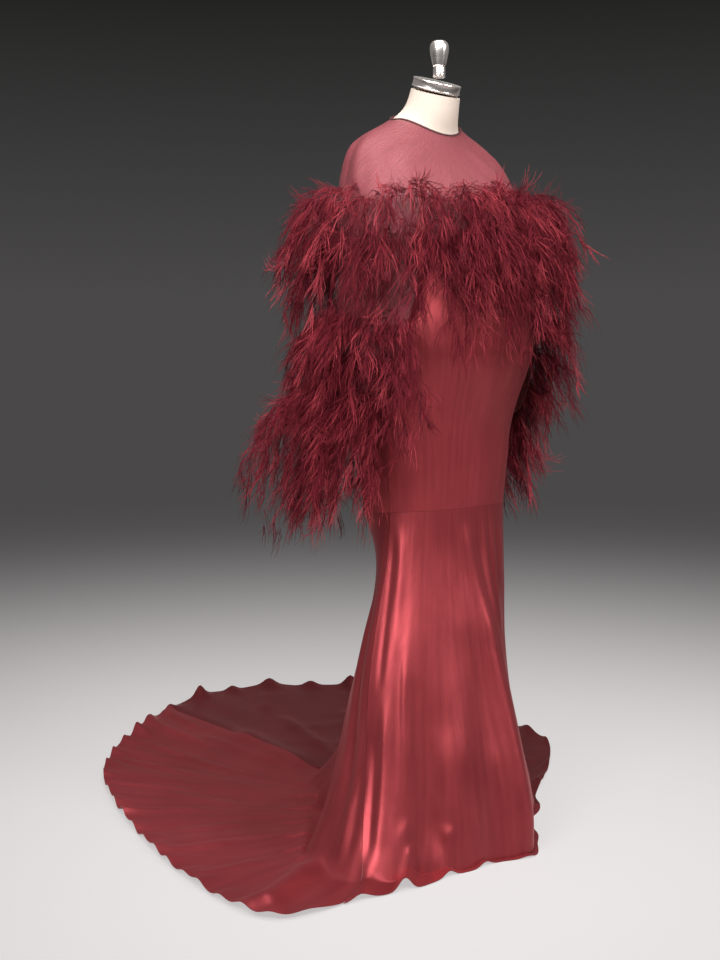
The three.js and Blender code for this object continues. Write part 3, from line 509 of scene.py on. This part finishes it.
HEM_STEP = 4                      # degrees between the points of that outline
MILLIMETRE = 0.001
FOLD_RADIUS = 0.22                # radius at which a fold's degrees are set against its metres
FOLD_FADE = 0.22                  # share of a fold's length over which it fades
TO_HEM = 0.03                     # a fold that ends below this height runs out in the hem,
HEM_FADE = 0.3                    # and fades in at its upper end alone
FLOOR_START, FLOOR_FADE = 0.25, 0.5
FLOOR_CLOTH = 0.015               # cloth up to this height lies on the floor,
FLOOR_BLEND = 0.07                # and over this much more it turns into upright cloth
FLOOR_GAP = 0.0004                # the cloth stays this far off the floor
LEAST_RADIUS = 0.05               # nearer the axis a push grows weaker
SEAM_RISE = 0.010                 # how much higher the flare seam is in front than at the sides
SEAM_BAND = 0.003                 # cloth this close to the seam's height is its edge
SEAM_REACH = 0.07                 # how far below the seam the skirt's top is drawn in or out
SEAM_LAP = 0.00035                # how far the skirt's top reaches up to the seam


def along_fold(x, y, ends, reach):
    """For every point, how far along a fold it lies, from 0 to 1, and the fold's own point beside it."""
    (x_a, y_a), (x_b, y_b) = ends
    way_x, way_y = (x_b - x_a) * reach, y_b - y_a
    share = ((x - x_a) * reach * way_x + (y - y_a) * way_y) / (way_x ** 2 + way_y ** 2)
    share = np.clip(share, 0, 1)
    return share, x_a + (x_b - x_a) * share, y_a + (y_b - y_a) * share


def ease(t):
    t = np.clip(t, 0, 1)
    return t * t * (3 - 2 * t)


def swell(share):
    """Fades a fold in and out at its ends."""
    return ease(share / FOLD_FADE) * ease((1 - share) / FOLD_FADE)


def hem_outline():
    """How far out the hem lies, every few degrees round, over all three skirt panels."""
    skirts = ("skirt_front", "skirt_back_right", "skirt_back_left")
    points = np.concatenate([mesh_points(nodes[name].data) for name in skirts])
    points = points[points[:, 2] < HEM_BAND]
    turn, out = degrees_round(points), np.hypot(points[:, 0], points[:, 1])
    steps = np.arange(0, 361, HEM_STEP)
    reach = np.array([out[abs((turn - step + 180) % 360 - 180) < HEM_STEP].max(initial=0) for step in steps])
    return steps[reach > 0], reach[reach > 0]


HEM_LINE = hem_outline()


def press_folds(points, wall_folds, floor_folds=(), peaks=()):
    """Moves a piece's points: out of the upright cloth along the wall folds, and up out of the train along
    the floor folds and the peaks of the hem. Both sides of the wall move together."""
    x, y, z = points.T
    turn = degrees_round(points)
    out = np.hypot(x, y)
    upright = ease((z - FLOOR_CLOTH) / FLOOR_BLEND)
    push = np.zeros(len(points))
    for deg_a, z_a, deg_b, z_b, height, width in wall_folds:
        deg_b = deg_a + (deg_b - deg_a + 180) % 360 - 180
        here = deg_a + (turn - deg_a + 180) % 360 - 180
        share, deg_at, z_at = along_fold(here, z, ((deg_a, z_a), (deg_b, z_b)), math.radians(FOLD_RADIUS))
        away = np.hypot(np.radians(here - deg_at) * out, z - z_at) / width
        fade = swell(share) if z_b > TO_HEM else ease(share / HEM_FADE)
        push += MILLIMETRE * height * np.exp(-away ** 2) * fade
    rise = np.zeros(len(points))
    for x_a, y_a, x_b, y_b, height, width in floor_folds:
        share, x_at, y_at = along_fold(x, y, ((x_a, y_a), (x_b, y_b)), 1.0)
        away = np.hypot(x - x_at, y - y_at) / width
        rise += MILLIMETRE * height * np.exp(-away ** 2) * ease(FLOOR_START + share / FLOOR_FADE)
    if peaks:
        inward = (np.interp(turn, *HEM_LINE) - out) / HEM_REACH
        for degrees, height, width in peaks:
            away = np.radians((turn - degrees + 180) % 360 - 180) * out / width
            rise += MILLIMETRE * height * np.exp(-away ** 2) * ease(1 - inward) * (out > BEND_RADIUS)
    spread = 1 + push * upright / np.maximum(out, LEAST_RADIUS)
    lift = np.maximum(rise * (1 - upright), -np.maximum(0, z - FLOOR_GAP))
    return np.stack([x * spread, y * spread, z + lift], 1)


def sewn_seam(turn):
    """The height of the flare seam in a direction."""
    return FLARE_SEAM + SEAM_RISE * np.cos(np.radians(turn))


def seam_line(points, middle, levels):
    """A panel's outer edge at the flare seam: radius by direction, one point for each upright row."""
    turn = (degrees_round(points) - middle + 180) % 360 - 180
    rim = abs(points[:, 2] - sewn_seam(turn + middle)) < SEAM_BAND
    order = np.argsort(turn[rim])
    turn = turn[rim][order]
    out = np.hypot(points[rim, 0], points[rim, 1])[order]
    rows = 2 ** levels + 1
    count = len(turn) // rows
    turn, out = turn[:count * rows].reshape(count, rows), out[:count * rows].reshape(count, rows)
    pick = out.argmax(1)
    return turn[range(count), pick] + middle, out[range(count), pick]


def meet_seam(points, own, wanted):
    """Draws a skirt panel's top in or out until it meets the upper panels without a step or a gap."""
    turn = degrees_round(points)
    out = np.hypot(points[:, 0], points[:, 1])
    near = ease(1 - (sewn_seam(turn) - points[:, 2]) / SEAM_REACH)
    step = np.interp(turn, *wanted, period=360) - np.interp(turn, *own, period=360)
    spread = 1 + step * near / out
    return np.stack([points[:, 0] * spread, points[:, 1] * spread, points[:, 2] + SEAM_LAP * near ** 8], 1)


# The upper panels are painted paler, a painted highlight that stands in for the light on the bust and hips.
# The wearer's left back panel is painted darker, a painted shade over the train's far half and the side seen
# beyond the front.
satin = satin_finish("wine satin", painted_brightness=1.0)
satin_painted_paler = satin_finish("wine satin, painted paler for the upper panels", painted_brightness=1.30)
satin_painted_shade = satin_finish("wine satin, painted shade", painted_brightness=0.48)
# node, piece, middle direction, levels, finish, width, length and area of its cut, what it rests on
PANELS = [
    ("gown_front", "gown_front_panel", 0, 2, satin_painted_paler, 0.50, 0.66, 0.32, "form_body"),
    ("gown_back", "gown_back_panel", 180, 2, satin_painted_paler, 0.56, 0.66, 0.36, "form_body"),
    ("skirt_front", "skirt_front_panel", 0, 3, satin, 1.00, 0.83, 0.45, "gown_front_panel"),
    ("skirt_back_right", "skirt_back_right_panel", 130, 3, satin, 1.15, 1.75, 0.82, "gown_back_panel"),
    ("skirt_back_left", "skirt_back_left_panel", 230, 3, satin_painted_shade, 1.15, 1.75, 0.90, "gown_back_panel"),
]
for node, name, middle, levels, finish, width, length, area, under in PANELS:
    panel = finer_copy(node, name, levels, BEND_TURN, BEND_FIRMNESS, BEND_SIDES)
    points = mesh_points(panel.data)
    line = seam_line(points, middle, levels)
    if name == "gown_front_panel":
        front_line = line
    elif name == "gown_back_panel":
        seam = [np.concatenate(pair) for pair in zip(front_line, line)]
    else:
        points = meet_seam(points, line, seam)
    set_points(panel.data, press_folds(points, WALL_FOLDS, TRAIN_FOLDS, HEM_PEAKS))
    lay_map(panel.data, middle, GOWN_REACH)
    settle(panel, finish, node)


# ------------------------------------------------------------------ cape
# The cape is soft tulle in two layers: a yoke over the shoulders and a longer fall that is open in front.
# A narrow bias binding closes the neckline.
TULLE_RED = (0.245, 0.056, 0.065, 1)
TULLE_DEEP = (0.145, 0.029, 0.036, 1)
TULLE_THREADS = 700.0             # threads in a metre
TULLE_STREAKS = (420.0, 26.0, 1.0)     # how fine the streaks are across and down
TULLE_LEAN = 0.45                 # how far, in radians, the streaks lean from the upright
BINDING_WINE = (0.05, 0.006, 0.010, 1)
BINDING_THREADS = 1300.0
CAPE_REACH = 0.22                 # how far the cape stands from the form's middle, for its map
# Soft folds of both layers, in rows like the gown's.
YOKE_FOLDS = (
    (96, 1.53, 88, 1.40, 5, 0.012), (104, 1.54, 100, 1.40, -5, 0.012), (112, 1.54, 112, 1.40, 5, 0.013),
    (78, 1.52, 70, 1.40, -4, 0.012), (66, 1.50, 58, 1.40, 3, 0.014), (124, 1.53, 126, 1.40, -4, 0.014),
    (300, 1.52, 306, 1.40, 4, 0.013), (290, 1.52, 294, 1.40, -5, 0.012), (280, 1.53, 281, 1.40, 5, 0.012),
    (268, 1.53, 266, 1.40, -4, 0.013), (312, 1.50, 318, 1.41, -3, 0.013), (252, 1.52, 250, 1.40, 4, 0.014),
    (150, 1.54, 148, 1.40, 3, 0.018), (168, 1.54, 170, 1.38, -3, 0.018), (194, 1.54, 190, 1.38, 3, 0.018),
    (214, 1.54, 216, 1.40, -3, 0.018), (30, 1.46, 24, 1.40, 2, 0.016), (340, 1.46, 344, 1.40, -2, 0.016),
)
FALL_FOLDS = (
    (70, 1.27, 80, 1.00, 6, 0.018), (92, 1.26, 96, 0.95, -7, 0.018), (108, 1.27, 112, 0.94, 7, 0.020),
    (128, 1.26, 130, 0.94, -6, 0.020), (146, 1.27, 150, 0.94, 7, 0.020), (164, 1.26, 166, 0.94, -6, 0.020),
    (182, 1.27, 180, 0.94, 7, 0.020), (200, 1.26, 198, 0.94, -6, 0.020), (218, 1.27, 216, 0.94, 7, 0.020),
    (236, 1.26, 234, 0.94, -6, 0.020), (252, 1.27, 250, 0.94, 6, 0.020), (268, 1.26, 264, 0.95, -7, 0.018),
    (290, 1.27, 280, 1.00, 6, 0.018),
)


def tulle_finish():
    material, tree, shader = new_finish("wine tulle")
    threads = add_threads(tree, TULLE_THREADS)
    streak = drawn_noise(tree, cloth_map(tree), TULLE_STREAKS, detail=3.0, turn=TULLE_LEAN)
    tree.links.new(blend_colours(tree, streak, TULLE_DEEP, TULLE_RED), shader.inputs["Base Color"])
    shader.inputs["Roughness"].default_value = 0.5
    shader.inputs["Specular Tint"].default_value = (1.0, 0.55, 0.6, 1)
    veil = add_node(tree, "ShaderNodeMapRange", {"Value": streak, "To Min": 0.50, "To Max": 0.86})
    tree.links.new(veil.outputs[0], shader.inputs["Alpha"])
    set_bump(tree, shader, threads.outputs["Height"], strength=0.15, distance=0.0002)
    return material


def binding_finish():
    material, tree, shader = new_finish("dark binding")
    threads = add_threads(tree, BINDING_THREADS)
    shader.inputs["Base Color"].default_value = BINDING_WINE
    shader.inputs["Roughness"].default_value = 0.6
    set_bump(tree, shader, threads.outputs["Height"], strength=0.2, distance=0.0003)
    return material


tulle = tulle_finish()
yoke = finer_copy("cape_yoke", "cape_yoke_veil", levels=2)
set_points(yoke.data, press_folds(mesh_points(yoke.data), YOKE_FOLDS))
lay_map(yoke.data, 0, CAPE_REACH)
settle(yoke, tulle, "cape_yoke")
fall = finer_copy("cape_fall", "cape_fall_veil", levels=2)
set_points(fall.data, press_folds(mesh_points(fall.data), FALL_FOLDS))
lay_map(fall.data, 180, CAPE_REACH)
settle(fall, tulle, "cape_fall")
neck = finer_copy("cape_neck_binding", "neck_binding", levels=1)
lay_map(neck.data, 0, CAPE_REACH)
settle(neck, binding_finish(), "cape_neck_binding")


# ------------------------------------------------------------------ feathers
# Three tiers of ostrich plumes, dyed with the cloth and sewn by the quill along strips. A plume arches out
# and down; its soft flues leave the rib on both sides, droop, and cling together in tufts at their tips.
# The darkest tone, which the painted shade at the flues' roots runs towards, then the middle and the palest
# tone, which painted light at the tips runs towards; the random tones lie between.
FLUE_ROOT_SHADE = (0.045, 0.003, 0.008, 1)
FLUE_DEEP = (0.110, 0.006, 0.013, 1)
FLUE_LIGHT = (0.410, 0.052, 0.068, 1)
FLUE_RADIUS = 0.00062
FLUE_STEPS = np.array([0.0, 0.34, 0.68, 1.0])     # where along a flue its rings and its tip lie
FLUE_TAPER = np.array([0.8, 1.0, 0.75])           # how thick it is at each ring
FLUE_PAINTED_LIGHT_AND_SHADE = np.array([-0.16, 0.0, 0.07, 0.10])  # painted shade at the root, and painted light that makes it paler towards the tip, ring by ring
RINGS = len(FLUE_TAPER)
SIDES = 3
FIRST_SEED = 40
# Where the quills are sewn, in metres and degrees.
QUILL_SCATTER = (0.1, 0.9)        # where in its own share of the row
ROW_SCATTER = 0.016               # above or below the row
HEM_MARGIN = 0.004                # above the fall's hem, at the least
EDGE_MARGIN = 2.0                 # behind the fall's front edge
CROWDING = 0.05                   # how much closer the plumes stand in front than behind
# How the rib of a plume is shaped.
RIB_SHARE = 0.80                  # the rib's share of how far out a plume stands
BEHIND_OUT = 0.16                 # further out behind, less far in front
LEFT_CALM = 0.72                  # the fall's plumes stand out less on the wearer's left
DROP_LEAST, DROP_MORE = 0.54, 0.16                # its share of how far down, least on that same side
OUT_SPREAD, DROP_SPREAD, UP_SPREAD, DRIFT_SPREAD = 0.20, 0.18, 0.010, 0.022     # plume by plume
ARCH = 1.25                       # the rib has its highest point before the middle
TONE, TONE_BY_TIER, TONE_SPREAD = 0.44, 0.014, 0.13
# How a tuft of flues leaves the rib.
TUFTS = 7
FLUES_IN_TUFT = 7
TUFT_SCATTER = (0.0, 0.9)         # where in its own share of the rib
TUFT_WIDTH = 0.035                # spread along the rib, as a share of it
ROOT_SCATTER, TIP_SCATTER = 0.0015, 0.011
RIB_STEP = 0.04                   # step along the rib that gives its direction
SIDEWAYS = (0.15, 0.95)           # how far a tuft leaves the rib to its side
TUFT_TURN, FLUE_TURN, TIP_TURN = 0.22, 0.24, 0.22
FLY_SHARE = 0.07                  # tufts that fly up instead of hanging
FLY_UP, HANG_DOWN = (-0.9, 0.1), (0.7, 1.3)
STAND_OUT = (0.1, 0.75)           # how far its tips stand out,
DRIFT = 0.24                      # and drift along the row
SIZES = (0.6, 1.2)
FLY_SIZE = 0.7
SHORTER_AT_TIP = 0.2
REACH, AHEAD, HANG = 0.80, 0.50, 0.70             # how a flue's own length takes its tip out and down
ROOT_HANDLE, TIP_HANDLE = 0.42, 0.32              # how long it keeps its direction at both ends
FLUE_TONE_SPREAD = 0.05
# piece, node, layer, height, plumes, how far out, up and down, how much more down behind, how soon the rib
# goes out and how late it goes down, flue length
TIERS = [
    ("feathers_1_upper", "tier1_upper", yoke, 1.388, 148, 0.142, 0.024, 0.205, -0.08, 1.6, 1.7, 0.115),
    ("feathers_1_lower", "tier1_lower", yoke, 1.322, 135, 0.098, 0.004, 0.275, -0.02, 1.6, 1.6, 0.112),
    ("feathers_2_upper", "tier2_upper", fall, 1.130, 108, 0.116, 0.010, 0.190, 0.10, 1.8, 1.7, 0.100),
    ("feathers_2_lower", "tier2_lower", fall, 1.062, 88, 0.070, 0.0, 0.180, 0.10, 1.5, 1.4, 0.098),
    ("feathers_3_upper", "tier3_upper", fall, 0.975, 116, 0.196, 0.010, 0.290, 0.0, 1.9, 2.1, 0.112),
    ("feathers_3_lower", "tier3_lower", fall, 0.936, 95, 0.118, 0.0, 0.310, 0.0, 1.5, 1.4, 0.112),
]
# How the plumes change towards the open front, by piece: length, width, lean, and over how many degrees.
FRONT_ENDS = {
    "feathers_2_upper": (1.35, 1.15, 0.125, 22),
    "feathers_2_lower": (1.40, 1.25, 0.105, 22),
    "feathers_3_upper": (0.90, 0.42, 0.020, 52),
    "feathers_3_lower": (0.88, 0.40, 0.008, 52),
}
# The fall's front edge: height, and direction in degrees.
FRONT_EDGE = ((1.295, 47), (1.23, 50), (1.16, 54), (1.09, 58), (1.03, 63), (0.97, 70), (0.925, 77))
FALL_HEM = 0.925
DOWN = np.array([0.0, 0.0, -1.0])
ASLANT = np.array([0.31, 0.22, 0.92])             # a direction that hardly any flue runs in
OUTSIDE = 0.9                     # a distance from the axis, clear of the whole cape
STEEP = 0.01                      # a shorter level way is taken from the axis


def feather_finish():
    material, tree, shader = new_finish("dyed ostrich")
    shade = add_node(tree, "ShaderNodeAttribute", attribute_name="flue_shade")
    ramp = add_node(tree, "ShaderNodeValToRGB", {"Fac": shade.outputs["Fac"]})
    ramp.color_ramp.elements[0].color = FLUE_ROOT_SHADE
    ramp.color_ramp.elements[1].color = FLUE_LIGHT
    ramp.color_ramp.elements.new(0.5).color = FLUE_DEEP
    tree.links.new(ramp.outputs[0], shader.inputs["Base Color"])
    shader.inputs["Roughness"].default_value = 0.6
    shader.inputs["Specular IOR Level"].default_value = 0.22
    shader.inputs["Specular Tint"].default_value = (1.0, 0.45, 0.45, 1)
    return material


def surface_of(piece):
    return BVHTree.FromObject(piece, bpy.context.evaluated_depsgraph_get())


def root_on(surface, degrees, height):
    """The point of a layer in a direction and at a height, seen from outside, and its level way outward."""
    turn = math.radians(degrees)
    outward = Vector((-math.sin(turn), -math.cos(turn), 0))
    hit, normal, _, _ = surface.ray_cast(outward * OUTSIDE + Vector((0, 0, height)), -outward)
    level = Vector((normal.x, normal.y, 0))
    return np.array(hit), np.array(level.normalized() if level.length > STEEP else outward)


def front_edge(height):
    """The direction of the open front's right edge at a height."""
    heights, directions = zip(*reversed(FRONT_EDGE))
    return float(np.interp(height, heights, directions))


def unit(ways):
    return ways / (np.linalg.norm(ways, axis=-1, keepdims=True) + 1e-9)


def flue_mesh(name, centres, shades):
    """One mesh of thin three-sided flues, with rings, a closed root and a pointed tip."""
    count = len(centres)
    tip = SIDES * RINGS
    ahead = unit(np.gradient(centres, axis=1))[:, :RINGS]
    side = unit(np.cross(ahead, ASLANT))
    over = np.cross(ahead, side)
    radius = FLUE_RADIUS * FLUE_TAPER[None, :, None]
    turns = [math.tau * k / SIDES for k in range(SIDES)]
    rings = [centres[:, :RINGS] + radius * (math.cos(turn) * side + math.sin(turn) * over) for turn in turns]
    points = np.concatenate([np.stack(rings, 2).reshape(count, tip, 3), centres[:, RINGS:]], 1)
    pairs = [(k, (k + 1) % SIDES) for k in range(SIDES)]
    rows = range(0, tip - SIDES, SIDES)
    walls = [(r + k, r + n, r + n + SIDES, r + k + SIDES) for r in rows for k, n in pairs]
    ends = [(tip - SIDES + k, tip - SIDES + n, tip) for k, n in pairs] + [(0, 2, 1)]
    pattern = np.concatenate([np.array(walls).ravel(), np.array(ends).ravel()])
    corners = (pattern[None] + (tip + 1) * np.arange(count)[:, None]).ravel()
    sizes = np.tile([4] * len(walls) + [3] * len(ends), count)
    mesh = bpy.data.meshes.new(name)
    mesh.vertices.add(count * (tip + 1))
    mesh.vertices.foreach_set("co", points.ravel())
    mesh.loops.add(len(corners))
    mesh.loops.foreach_set("vertex_index", corners)
    mesh.polygons.add(len(sizes))
    mesh.polygons.foreach_set("loop_start", np.concatenate([[0], np.cumsum(sizes)[:-1]]))
    mesh.update(calc_edges=True)
    shade = np.concatenate([np.repeat(shades[:, :RINGS], SIDES, axis=1), shades[:, RINGS:]], 1)
    layer = mesh.attributes.new("flue_shade", "FLOAT", "POINT")
    layer.data.foreach_set("value", shade.ravel().astype(np.float32))
    mesh.shade_smooth()
    return mesh


def plume_rib(root, outward, along, out, up, drop, drift, reach, sag):
    """The rib of a plume: it goes out from its root, first up and then down, and drifts to one side."""

    def rib(t):
        level = out * (1 - (1 - t) ** reach)
        rise = up * np.sin(math.pi * np.minimum(1, ARCH * t)) - drop * t ** sag
        return root + level[:, None] * outward + (drift * t)[:, None] * along - rise[:, None] * DOWN

    return rib


def tuft_of_flues(dice, rib, number, outward, along, length):
    """One tuft on a rib: the root, both handles and the tip of each of its flues."""
    many = (FLUES_IN_TUFT, 3)
    base = (number + dice.uniform(*TUFT_SCATTER)) / TUFTS
    t = np.clip(base + TUFT_WIDTH * dice.normal(size=FLUES_IN_TUFT), 0.0, 1.0)
    start = rib(t) + ROOT_SCATTER * dice.normal(size=many)
    ahead = unit(rib(np.minimum(1, t + RIB_STEP)) - rib(np.maximum(0, t - RIB_STEP))).mean(0)
    side = (1 if number % 2 else -1) * dice.uniform(*SIDEWAYS)
    first = unit(ahead + side * along + TUFT_TURN * dice.normal(size=3) + FLUE_TURN * dice.normal(size=many))
    fly = dice.uniform() < FLY_SHARE
    hang = dice.uniform(*(FLY_UP if fly else HANG_DOWN))
    way = unit(hang * DOWN + dice.uniform(*STAND_OUT) * outward + DRIFT * dice.normal() * along)
    size = length * dice.uniform(*SIZES) * (FLY_SIZE if fly else 1) * (1 - SHORTER_AT_TIP * base)
    tip = start.mean(0) + REACH * size * (AHEAD * first.mean(0) + HANG * way)
    end = tip + TIP_SCATTER * dice.normal(size=many)
    last = unit(way + TIP_TURN * dice.normal(size=many))
    return start, start + ROOT_HANDLE * size * first, end - TIP_HANDLE * size * last, end


feather = feather_finish()
for tier, (name, node, layer, height, plumes, out, up, drop, deeper, reach, sag, length) in enumerate(TIERS):
    dice = np.random.default_rng(FIRST_SEED + tier)
    surface = surface_of(layer)
    longer, wider, lean, span = FRONT_ENDS.get(name, (1, 1, 0, 1))
    tufts, shades = [], []
    for plume in range(plumes):
        share = (plume + dice.uniform(*QUILL_SCATTER)) / plumes
        level = max(height + dice.uniform(-ROW_SCATTER, ROW_SCATTER), FALL_HEM + HEM_MARGIN)
        edge = EDGE_MARGIN + front_edge(level) if layer is fall else 0.0
        degrees = edge + (360 - 2 * edge) * (share - CROWDING * math.sin(math.tau * share))
        root, outward = root_on(surface, degrees, level)
        along = np.array([-outward[1], outward[0], 0.0])
        near = max(0.0, 1 - min(degrees - edge, 360 - edge - degrees) / span) if layer is fall else 0.0
        to_front = 1 if degrees < 180 else -1
        calm = 1 - LEFT_CALM * max(0.0, outward[0]) if layer is fall else 1.0
        rib_out = RIB_SHARE * out * (1 + BEHIND_OUT * outward[1]) * calm * (1 + (wider - 1) * near)
        rib_out *= 1 + OUT_SPREAD * dice.normal()
        lower = 1 + deeper * outward[1]
        rib_drop = (DROP_LEAST + DROP_MORE * calm) * drop * (1 + (longer - 1) * near) * lower
        rib_drop *= 1 + DROP_SPREAD * dice.normal()
        rib_up = up + UP_SPREAD * abs(dice.normal())
        rib_drift = DRIFT_SPREAD * dice.normal() + to_front * lean * near
        rib = plume_rib(root, outward, along, rib_out, rib_up, rib_drop, rib_drift, reach, sag)
        tone = TONE + TONE_BY_TIER * tier + TONE_SPREAD * dice.normal()
        for number in range(TUFTS):
            tufts.append(tuft_of_flues(dice, rib, number, outward, along, length))
            tuft_tone = tone + TONE_SPREAD * dice.normal()
            shades.append(tuft_tone + FLUE_TONE_SPREAD * dice.normal(size=FLUES_IN_TUFT))
    s = FLUE_STEPS[None, :, None]
    p0, p1, p2, p3 = (np.concatenate(part)[:, None] for part in zip(*tufts))
    centres = (1 - s) ** 3 * p0 + 3 * s * (1 - s) ** 2 * p1 + 3 * s ** 2 * (1 - s) * p2 + s ** 3 * p3
    tones = np.clip(np.concatenate(shades)[:, None] + FLUE_PAINTED_LIGHT_AND_SHADE[None], 0, 1)
    piece = new_object(name, flue_mesh(name, centres, tones))
    settle(piece, feather, node)


# ------------------------------------------------------------------ studio
# A large pale floor with a painted pool of light, paler and glowing near the object and fading into a grey
# room, a light ceiling for the reflections, four large soft lights, and the camera to the wearer's front
# right.
NO_COLOUR = (0, 0, 0, 1)
FLOOR_PAINTED_PALE = (0.14, 0.136, 0.135, 1)
FLOOR_GLOW = (0.550, 0.530, 0.525, 1)
FLOOR_REACH = 2.55                # how far from the object the painted pool of light on the floor reaches
FLOOR_RADIUS = 30.0
ROOM_GREY = (0.068, 0.065, 0.066, 1)
ROOM_TOP = (0.016, 0.016, 0.015, 1)
SOFT_ROOM = (0.20, 0.19, 0.19, 1)
SOFT_CEILING = (0.27, 0.265, 0.26, 1)
ROOM_STOPS = ((0.0, ROOM_GREY), (0.03, ROOM_GREY), (0.24, ROOM_TOP), (1.0, ROOM_TOP))
SOFT_STOPS = ((0.0, SOFT_ROOM), (0.30, SOFT_ROOM), (0.55, SOFT_CEILING), (1.0, SOFT_CEILING))
CAMERA_PLACE = (-2.091, -2.158, 1.10)
CAMERA_TILT, CAMERA_TURN = 83.9, -41


def studio_floor():
    bm = bmesh.new()
    bmesh.ops.create_circle(bm, cap_ends=True, segments=96, radius=FLOOR_RADIUS)
    mesh = bpy.data.meshes.new("studio_floor")
    bm.to_mesh(mesh)
    bm.free()
    floor = new_object("studio_floor", mesh)
    material, tree, shader = new_finish("pale floor")
    spot = add_node(tree, "ShaderNodeTexCoord").outputs["Object"]
    # Near the object the floor is painted paler and glows: a painted pool of light that fades into the room's
    # grey away from it.
    far = add_node(tree, "ShaderNodeVectorMath", {0: spot, 1: spot}, operation="DOT_PRODUCT")
    near = reckon(tree, "EXPONENT", reckon(tree, "MULTIPLY", far.outputs["Value"], -1 / FLOOR_REACH ** 2))
    tree.links.new(blend_colours(tree, near, NO_COLOUR, FLOOR_PAINTED_PALE), shader.inputs["Base Color"])
    tree.links.new(blend_colours(tree, near, ROOM_GREY, FLOOR_GLOW), shader.inputs["Emission Color"])
    shader.inputs["Emission Strength"].default_value = 1.0
    shader.inputs["Roughness"].default_value = 0.9
    shader.inputs["Specular IOR Level"].default_value = 0.0
    mesh.materials.append(material)


def soft_room():
    """Dark grey behind the object, and a paler room with a light ceiling for its reflections."""
    world = bpy.data.worlds.new("studio")
    bpy.context.scene.world = world
    world.use_nodes = True
    tree = world.node_tree
    around = add_node(tree, "ShaderNodeTexCoord")
    axes = add_node(tree, "ShaderNodeSeparateXYZ", {"Vector": around.outputs["Generated"]})
    ramps = []
    for stops in (ROOM_STOPS, SOFT_STOPS):
        ramp = add_node(tree, "ShaderNodeValToRGB", {"Fac": axes.outputs["Z"]})
        elements = ramp.color_ramp.elements
        elements[0].color = stops[0][1]
        elements[1].color = stops[-1][1]
        for place, colour in stops[1:-1]:
            elements.new(place).color = colour
        ramps.append(ramp.outputs[0])
    seen = add_node(tree, "ShaderNodeLightPath")
    colour = blend_colours(tree, seen.outputs["Is Camera Ray"], ramps[1], ramps[0])
    tree.links.new(colour, tree.nodes["Background"].inputs["Color"])


studio_floor()
soft_room()

LIGHTS = [  # name, place, aim, width, height, power
    ("key_light", (-3.4, -1.2, 3.0), (0, 0, 0.9), 1.4, 1.6, 135),
    ("front_light", (1.2, -3.4, 2.9), (0, 0, 0.8), 1.0, 1.6, 100),
    ("high_light", (-2.0, -2.6, 3.3), (0, 0, 1.1), 2.4, 1.0, 190),
    ("top_light", (-0.5, -0.3, 3.9), (0, 0.1, 0.4), 2.6, 2.6, 100),
]
for name, place, aim, width, height, power in LIGHTS:
    light = bpy.data.lights.new(name, "AREA")
    light.shape = "RECTANGLE"
    light.size, light.size_y = width, height
    light.energy = power
    lamp = new_object(name, light)
    lamp.location = place
    lamp.rotation_euler = (Vector(aim) - Vector(place)).to_track_quat("-Z", "Y").to_euler()
    lamp.visible_camera = False

lens = bpy.data.cameras.new("camera")
lens.lens = 50
lens.sensor_width = 36
camera = new_object("camera", lens)
camera.location = CAMERA_PLACE
camera.rotation_euler = (math.radians(CAMERA_TILT), 0, math.radians(CAMERA_TURN))
bpy.context.scene.camera = camera
bpy.context.scene.view_settings.view_transform = "Standard"
